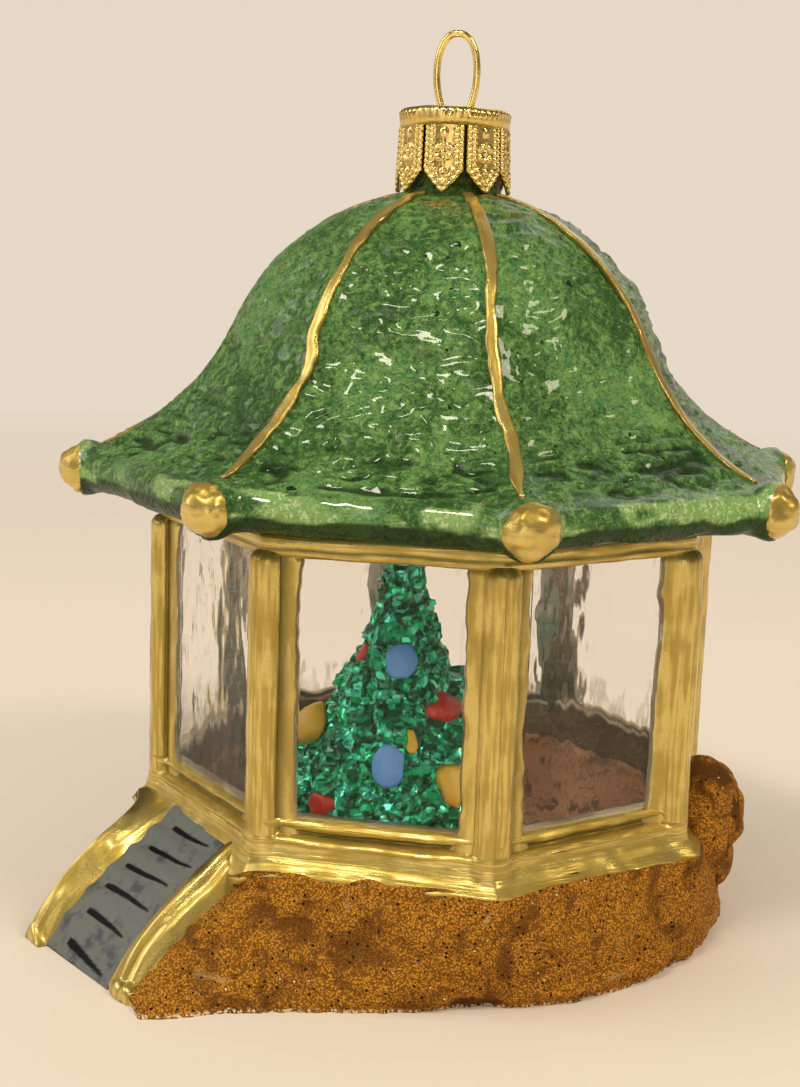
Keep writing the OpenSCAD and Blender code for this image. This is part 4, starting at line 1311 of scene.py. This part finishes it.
def rock_radius(azimuth, z, s):
    """Rock's outline: a rounded mass that turns to the plinth's octagon at its top, and a spur round the
    stair, close to its wall on the left and lower than the flight on the right, with a long slope. It draws
    back under the stair."""
    share = z / PLINTH_Z
    body = 32.4 * (1 - share ** 2) + octagon(azimuth, PLINTH_OUT + 0.1) * share ** 2
    ahead = (azimuth + math.pi) % (2 * math.pi) - math.pi
    b = np.degrees(ahead)
    level = np.minimum(z + SIDE_DROP * smooth(b, -2, 2) * smooth(z, 0, 2), STAIR_TOP)
    y = flight_y(level, np.clip(b * 2, -9, 9))
    front = (y + 0.3) / np.cos(np.radians(np.minimum(np.abs(b), 60)))
    left = 9.2 / np.sin(np.radians(np.clip(-b, 1, 90)))
    right = (31.9 - 1.3 * share) / np.cos(np.radians(np.maximum(0, 65 - 20 * share - b)))
    spur = np.minimum(front, np.where(b < 0, left, right))
    beside = spur * np.sin(ahead - STAIR_TURN)
    wall = np.where(beside > 0, s["widening"] - 0.2 + 0.85 * right_width(y, s), s["wall_w"])
    spur = spur - 1.6 * smooth(flight_half(y, s) + wall - np.abs(beside), -0.3, 0.9)
    under = smooth(s["flight_w"] / 2 + 2 - np.abs(body * np.sin(ahead)), 0, 2) * (np.abs(b) < 60)
    return np.maximum(body - 1.6 * under * smooth(z, PLINTH_Z - 4, PLINTH_Z - 1), spur)


def rock_piece(s):
    """Sanded mass: its outline at each height, with lumps, closed underneath and hollow inside. Its rim
    lies lower in front of the flight."""
    azimuth = ring(500)[None]
    rim = PLINTH_Z + 0.25 + 0.35 * noise(polar(30, azimuth, 0), 2.6, 161)
    rim = rim - 1.1 * smooth(0.38 - np.abs(np.sin((azimuth - STAIR_TURN) / 2)) * 2, 0, 0.1)
    z = rim * np.linspace(0, 1, 78)[:, None]
    radius = rock_radius(azimuth, np.minimum(z, PLINTH_Z), s)
    place = polar(radius, azimuth, z)
    lumps = fractal(place, 7.0, 163, 3) + 0.35 * noise(place, 0.9, 167)
    radius = radius + s["lump"] * lumps * (1 - 0.7 * smooth(z, PLINTH_Z - 2.5, PLINTH_Z))
    radius = radius - 0.7 * (1 - smooth(z, 0, 1.3)) - 0.25 * smooth(z, PLINTH_Z - 0.2, PLINTH_Z + 0.4)
    base = polar(radius[:1] * np.linspace(0.02, 0.97, 7)[:, None], azimuth, 0.0)
    hollow = octagon(azimuth, RAIL_IN - 0.8)
    lip = polar(hollow * np.array([[1.03], [1.0]]), azimuth, PLINTH_Z - 0.1)
    level = np.linspace(PLINTH_Z - 0.6, MOUND_LOW + 0.6, 16)[:, None]
    wall = polar(hollow + 1.2 * np.sin((level - MOUND_LOW) / 9 * math.pi), azimuth, level)
    wall += polar(0.6 * fractal(wall, 5.0, 171), azimuth, 0.0)
    bed = polar(hollow * np.linspace(0.97, 0.02, 9)[:, None], azimuth, MOUND_LOW)
    rows = (base, polar(radius, azimuth, z), lip, wall, bed)
    grid = np.concatenate(rows)
    outside = slice(len(base), len(base) + len(z))
    dark, edge = np.zeros((2, *grid.shape[:2]))
    # painted shade: the low parts of the lumps are marked deep
    dark[outside] = smooth(-lumps, 0.35, 1.0) * 0.85
    edge[outside] = smooth(0.45 - z, 0, 0.35)
    inside = np.repeat([0.0, 0.0, 1.0, 1.0, 1.0], [len(row) for row in rows])[:, None]
    solid("sanded_rock", [patch(grid, deep=dark, edge=edge, inside=inside)], sanded(), "rock_base")


# the outcrop's balls: azimuth in degrees, distance from the axis, height and radius
OUTCROP = ((133, 30.6, 12.2, 4.4), (124, 30.4, 11, 3.4), (143, 30.4, 11, 3.5), (130, 29.8, 15.5, 3.9),
           (138, 30, 14.5, 3.6), (133, 30.4, 7.0, 3.8))


def boulder_piece(s):
    """Sanded outcrop: from its middle, the furthest of six balls along each direction, blended and lumpy,
    with dark veins where a noise crosses zero."""
    middle = polar(30.2, math.radians(133), 11.5)
    _, _, way = ball(0.03, 84, 140)
    total = 0
    for azimuth, distance, z, radius in OUTCROP:
        off = polar(distance, math.radians(azimuth), z) - middle
        along = way @ off
        reach = along + np.sqrt(np.clip(radius ** 2 - (off @ off - along ** 2), 0, None))
        total = total + np.clip(reach, 0.1, None) ** 9
    grid = middle + (total ** (1 / 9) * 0.93)[..., None] * way
    lumps = fractal(grid, 3.6, 181, 3)
    grid = grid + (0.55 * s["lump"] * lumps)[..., None] * way
    grid[..., 2] = np.clip(grid[..., 2], 1.0, BOULDER_TOP)
    veins = smooth(0.16 - np.abs(noise(grid, 2.4, 183)), 0, 0.1) * smooth(noise(grid, 5.0, 184), -0.3, 0.2)
    # painted shade: the low parts of the lumps are marked deep, besides the veins
    body = patch(grid, deep=np.maximum(smooth(-lumps, 0.0, 0.6), veins), edge=0, inside=0)
    solid("sanded_boulder", [body], sanded(), "rock_boulder")


def mound_piece():
    """Swirled ground under the tree: a low lumpy dome."""
    t = np.linspace(0.02, 1, 48)[:, None]
    azimuth = ring(170)[None]
    grid = polar(MOUND_R * t, azimuth, MOUND_LOW + (MOUND_TOP - MOUND_LOW) * (1 - t ** 3))
    grid[..., 2] += 0.55 * fractal(grid, 5.0, 191) * (1 - t ** 6)
    foot = polar(MOUND_R * np.array([[0.97], [0.5], [0.02]]), azimuth, MOUND_LOW)
    grid[..., 2] = np.maximum(grid[..., 2], MOUND_LOW + 0.05)
    solid("swirled_mound", [patch(np.concatenate([grid, foot]), deep=0)], swirled(), "inner_mound")


class PAVILION_OT_rock(bpy.types.Operator):
    """Sanded rock, its outcrop and the ground inside it"""
    bl_idname = "pavilion.rock"
    bl_label = "Rock"

    def execute(self, context):
        s = sizes()
        rock_piece(s)
        boulder_piece(s)
        mound_piece()
        return {"FINISHED"}


# ---------------------------------------------------------------- tree

TIERS = 6


def tree_radius(azimuth, z):
    """Tiers of branches: a full foot that draws in to a thin top, each tier widest at its lower edge, and
    lobed all round."""
    up = np.clip((z - TREE_LOW) / (TREE_TOP - TREE_LOW), 0, 1)
    tier = np.floor(up * TIERS)
    within = up * TIERS - tier
    body = TREE_R * np.interp(up, [0, 0.12, 0.32, 0.48, 0.59, 0.78, 0.9, 1],
                              [0.98, 0.94, 0.81, 0.57, 0.41, 0.21, 0.14, 0.05])
    lobes = 1 + 0.05 * np.cos(9 * azimuth + 2.1 * tier) * (1 - within)
    return body * (1.04 - 0.13 * within ** 1.5) * lobes


def tree_piece(s):
    """Crumpled green glass over the tiers: scattered tilted planes, large and small."""
    z = np.linspace(TREE_LOW, TREE_TOP, 170)[:, None]
    azimuth = ring(290)[None]
    grid = polar(tree_radius(azimuth, z), azimuth, z)
    large, _ = facets(grid, 2.4, 201)
    small, edge = facets(grid, 0.9, 205)
    height = s["crumple"] * (0.5 * large + 0.26 * small) * smooth(TREE_TOP - z, 0, 1.5)
    radius = np.clip(tree_radius(azimuth, z) * 0.97 + height, 0.25, TREE_R)
    grid = polar(radius, azimuth, z + 0.25 * small) + TREE_AT
    grid[..., 2] = np.clip(grid[..., 2], TREE_LOW, TREE_TOP)
    # painted shade: deep marks sunken facets and the parts near facet edges
    body = patch(grid, deep=0.3 * smooth(-height, 0, 0.5) + 0.25 * smooth(edge, 0.7, 1.0))
    solid("crumpled_tree", [body], emerald(), "tree", flat=True)


# for each paint, its dabs: azimuth in degrees, height, width and tallness, and thickness where it isn't 0.4
DABS = {
    "blue": ((57, 27.3, 3.6, 3.2), (52, 17.5, 3.4, 3.8), (224, 25.8, 3.2, 3.2), (215, 16, 3.6, 3.6)),
    "red": ((97, 22.6, 5.2, 2.8, 1.3), (18, 12.1, 4.0, 2.7), (-4, 27.5, 1.4, 2.0), (268, 22, 3.6, 3),
            (175, 12, 4, 3)),
    "yellow": ((-20, 19.2, 5.4, 4.3, 2.0), (90, 15.0, 3.6, 4.0, 1.0), (146, 20, 4, 3.6), (262, 14, 4, 3.6),
               (65, 19.6, 1.2, 2.0)),
}


def dab(seed, azimuth, z, wide, tall, high=0.4):
    """A dab of paint on the tree: a dome with an uneven outline between a circle and a square, laid on its
    surface."""
    dome, back = np.linspace(0.04, 1, 11), np.linspace(0.9, 0.05, 3)
    rho = np.concatenate([dome, back])[:, None]
    top = np.arange(len(rho))[:, None] < len(dome)
    turn = ring(36)[None]
    c, d = np.cos(turn), np.sin(turn)
    squarish = (np.abs(c) ** 3 + np.abs(d) ** 3) ** (-1 / 3)
    reach = rho * squarish * (1 + 0.20 * noise(together(c, d, seed), 0.8, 211))
    across = wide / 2 * reach * c
    up = tall / 2 * reach * d
    a = math.radians(azimuth)
    slope = (tree_radius(a, z + 2) - tree_radius(a, z - 2)) / 4
    base = tree_radius(a, z) * 0.97 + 0.35 + slope * up
    lift = np.where(top, high * np.sqrt(np.clip(1 - rho ** 2, 0, 1)), -0.6)
    grid = polar(base + lift - across ** 2 / 20, a + across / np.maximum(base, 2), z + up)
    return patch(grid + TREE_AT)


class PAVILION_OT_tree(bpy.types.Operator):
    """Crumpled glass tree with its painted dabs"""
    bl_idname = "pavilion.tree"
    bl_label = "Tree"

    def execute(self, context):
        tree_piece(sizes())
        for name, places in DABS.items():
            patches = [dab(seed, *place) for seed, place in enumerate(places)]
            solid(f"{name}_dabs", patches, dab_paint(name), f"baubles_{name}")
        return {"FINISHED"}


# ---------------------------------------------------------------- stage

# where the camera stands: azimuth, distance from the axis and height in metres, and its turns
VIEW_SIDE = math.radians(55.64)
CAMERA_AWAY = 0.182
CAMERA_UP = 0.072
CAMERA_YAW, CAMERA_PITCH, CAMERA_ROLL = (math.radians(v) for v in (-1.347, -10.202, 1.924))
LENS = 55.94
FLOOR_REACH = 4.0  # metres from the middle of the floor to its sides
SKY_TINT = (1.0, 0.94, 0.86)
SKY_POWER = 0.54
MIDDLE = Vector((0, 0, 0.045))  # what the lamps face, in metres

# name, azimuth and height over the floor in degrees, distance and size in metres, power, tint
LAMPS = (
    ("Window", -30, 33, 0.70, 0.42, 1.5, (1.0, 0.97, 0.92)),
    ("Ceiling", 30, 61, 0.65, 0.11, 1.2, (1.0, 0.92, 0.76)),
    ("Side", 112, 43, 0.60, 0.15, 1.2, (1.0, 0.88, 0.66)),
    ("Front", 45, 12, 0.60, 0.30, 0.4, (1.0, 0.97, 0.93)),
    ("Rear", 218, 35, 0.70, 0.50, 0.6, (1.0, 0.97, 0.94)),
)


def floor():
    """A square floor whose paint fades into the backdrop with distance."""
    mesh = bpy.data.meshes.new("floor")
    corners = [(x * FLOOR_REACH, y * FLOOR_REACH, 0) for x, y in ((-1, -1), (1, -1), (1, 1), (-1, 1))]
    mesh.from_pydata(corners, [], [(0, 1, 2, 3)])
    placed("floor", mesh)
    made = bpy.data.materials.new("Floor")
    made.use_nodes = True
    shader = made.node_tree.nodes["Principled BSDF"]
    for socket, value in (("Base Color", hue("floor")), ("Roughness", 0.7), ("Specular IOR Level", 0.15)):
        shader.inputs[socket].default_value = value
    net = Net(made.node_tree)
    place = net.add("TexCoord").outputs["Object"]
    away = net.add("VectorMath", {0: place}, operation="LENGTH").outputs["Value"]
    far = net.add("Emission", {0: hue("backdrop"), 1: 1.0}).outputs[0]
    net.surface("Material Output", net.fit(away, 0.16, 0.55), shader.outputs[0], far)
    mesh.materials.append(made)


def surroundings():
    """Warm soft light from all round. The camera sees the backdrop, and what is glossy mirrors it darker
    behind the camera and overhead."""
    world = bpy.data.worlds.new("World")
    bpy.context.scene.world = world
    world.use_nodes = True
    net = Net(world.node_tree)
    path = net.add("LightPath").outputs
    plain = net.most(path["Is Camera Ray"], path["Is Transmission Ray"])
    way = net.add("TexCoord").outputs["Generated"]
    facing = net.add("VectorMath", {0: way, 1: (math.sin(VIEW_SIDE), -math.cos(VIEW_SIDE), 0.0)},
                     operation="DOT_PRODUCT").outputs["Value"]
    height = net.add("SeparateXYZ", {0: way}).outputs["Z"]
    dim = net.times(net.fit(facing, -0.2, 0.7, 0.65, 0.3), net.fit(height, 0.0, 0.4, 1.0, 0.22))
    show = net.add("Background", {0: hue("backdrop"), 1: net.most(dim, plain)}).outputs[0]
    light = net.add("Background", {0: colour(SKY_TINT), 1: SKY_POWER}).outputs[0]
    net.surface("World Output", net.most(plain, path["Is Glossy Ray"]), light, show)


def lamp(name, azimuth, height, away, size, power, tint):
    """A square lamp that faces the middle of the ornament."""
    light = bpy.data.lights.new(name, "AREA")
    light.size = size
    light.energy = power
    light.color = tint
    out, _ = directions(math.radians(azimuth))
    height = math.radians(height)
    way = Vector(out * math.cos(height)) + Vector((0, 0, math.sin(height)))
    holder = placed(name, light)
    holder.location = MIDDLE + away * way
    holder.rotation_euler = (-way).to_track_quat("-Z", "Y").to_euler()


def camera():
    """The camera, turned from facing the axis by its yaw, pitch and roll."""
    ahead = Vector((math.sin(CAMERA_YAW) * math.cos(CAMERA_PITCH),
                    math.cos(CAMERA_YAW) * math.cos(CAMERA_PITCH), math.sin(CAMERA_PITCH)))
    level = ahead.cross(Vector((0, 0, 1))).normalized()
    over = level.cross(ahead)
    right = level * math.cos(CAMERA_ROLL) + over * math.sin(CAMERA_ROLL)
    up = over * math.cos(CAMERA_ROLL) - level * math.sin(CAMERA_ROLL)
    turn = Matrix.Rotation(VIEW_SIDE, 3, "Z")
    axes = Matrix([turn @ right, turn @ up, turn @ -ahead]).transposed().to_4x4()
    axes.translation = (CAMERA_AWAY * math.sin(VIEW_SIDE), -CAMERA_AWAY * math.cos(VIEW_SIDE), CAMERA_UP)
    lens = bpy.data.cameras.new("Camera")
    lens.sensor_fit = "VERTICAL"
    lens.sensor_height = 36.0
    lens.lens = LENS
    lens.clip_start = 0.005
    holder = placed("Camera", lens)
    holder.matrix_world = axes
    bpy.context.scene.camera = holder


class PAVILION_OT_stage(bpy.types.Operator):
    """Pale floor that fades into the backdrop, soft lamps and the camera"""
    bl_idname = "pavilion.stage"
    bl_label = "Stage"

    def execute(self, context):
        context.scene.view_settings.view_transform = "Standard"
        floor()
        surroundings()
        for values in LAMPS:
            lamp(*values)
        camera()
        return {"FINISHED"}


class PAVILION_PT_panel(bpy.types.Panel):
    """Lists the pieces of the ornament"""
    bl_idname = "PAVILION_PT_panel"
    bl_label = "Pavilion"
    bl_space_type = "VIEW_3D"
    bl_region_type = "UI"
    bl_category = "Pavilion"

    def draw(self, context):
        for operator in OPERATORS:
            self.layout.operator(operator.bl_idname)
        for group in (context.scene.pavilion_sizes, context.scene.pavilion_colours):
            box = self.layout.box()
            for name in type(group).__annotations__:
                box.prop(group, name)


OPERATORS = (PAVILION_OT_cap, PAVILION_OT_roof, PAVILION_OT_walls, PAVILION_OT_panes, PAVILION_OT_stair,
             PAVILION_OT_rock, PAVILION_OT_tree, PAVILION_OT_stage)
CLASSES = (PavilionSizes, PavilionColours, PAVILION_PT_panel) + OPERATORS


def register():
    """Registers the classes and puts the sizes and colours on the scene."""
    for cls in CLASSES:
        bpy.utils.register_class(cls)
    bpy.types.Scene.pavilion_sizes = PointerProperty(type=PavilionSizes)
    bpy.types.Scene.pavilion_colours = PointerProperty(type=PavilionColours)


def unregister():
    """Takes the sizes, colours and classes away again."""
    del bpy.types.Scene.pavilion_colours
    del bpy.types.Scene.pavilion_sizes
    for cls in reversed(CLASSES):
        bpy.utils.unregister_class(cls)


def main():
    register()
    pavilion = bpy.ops.pavilion
    for build in (pavilion.cap, pavilion.roof, pavilion.walls, pavilion.panes, pavilion.stair, pavilion.rock,
                  pavilion.tree, pavilion.stage):
        build()


if __name__ == "__main__":
    main()
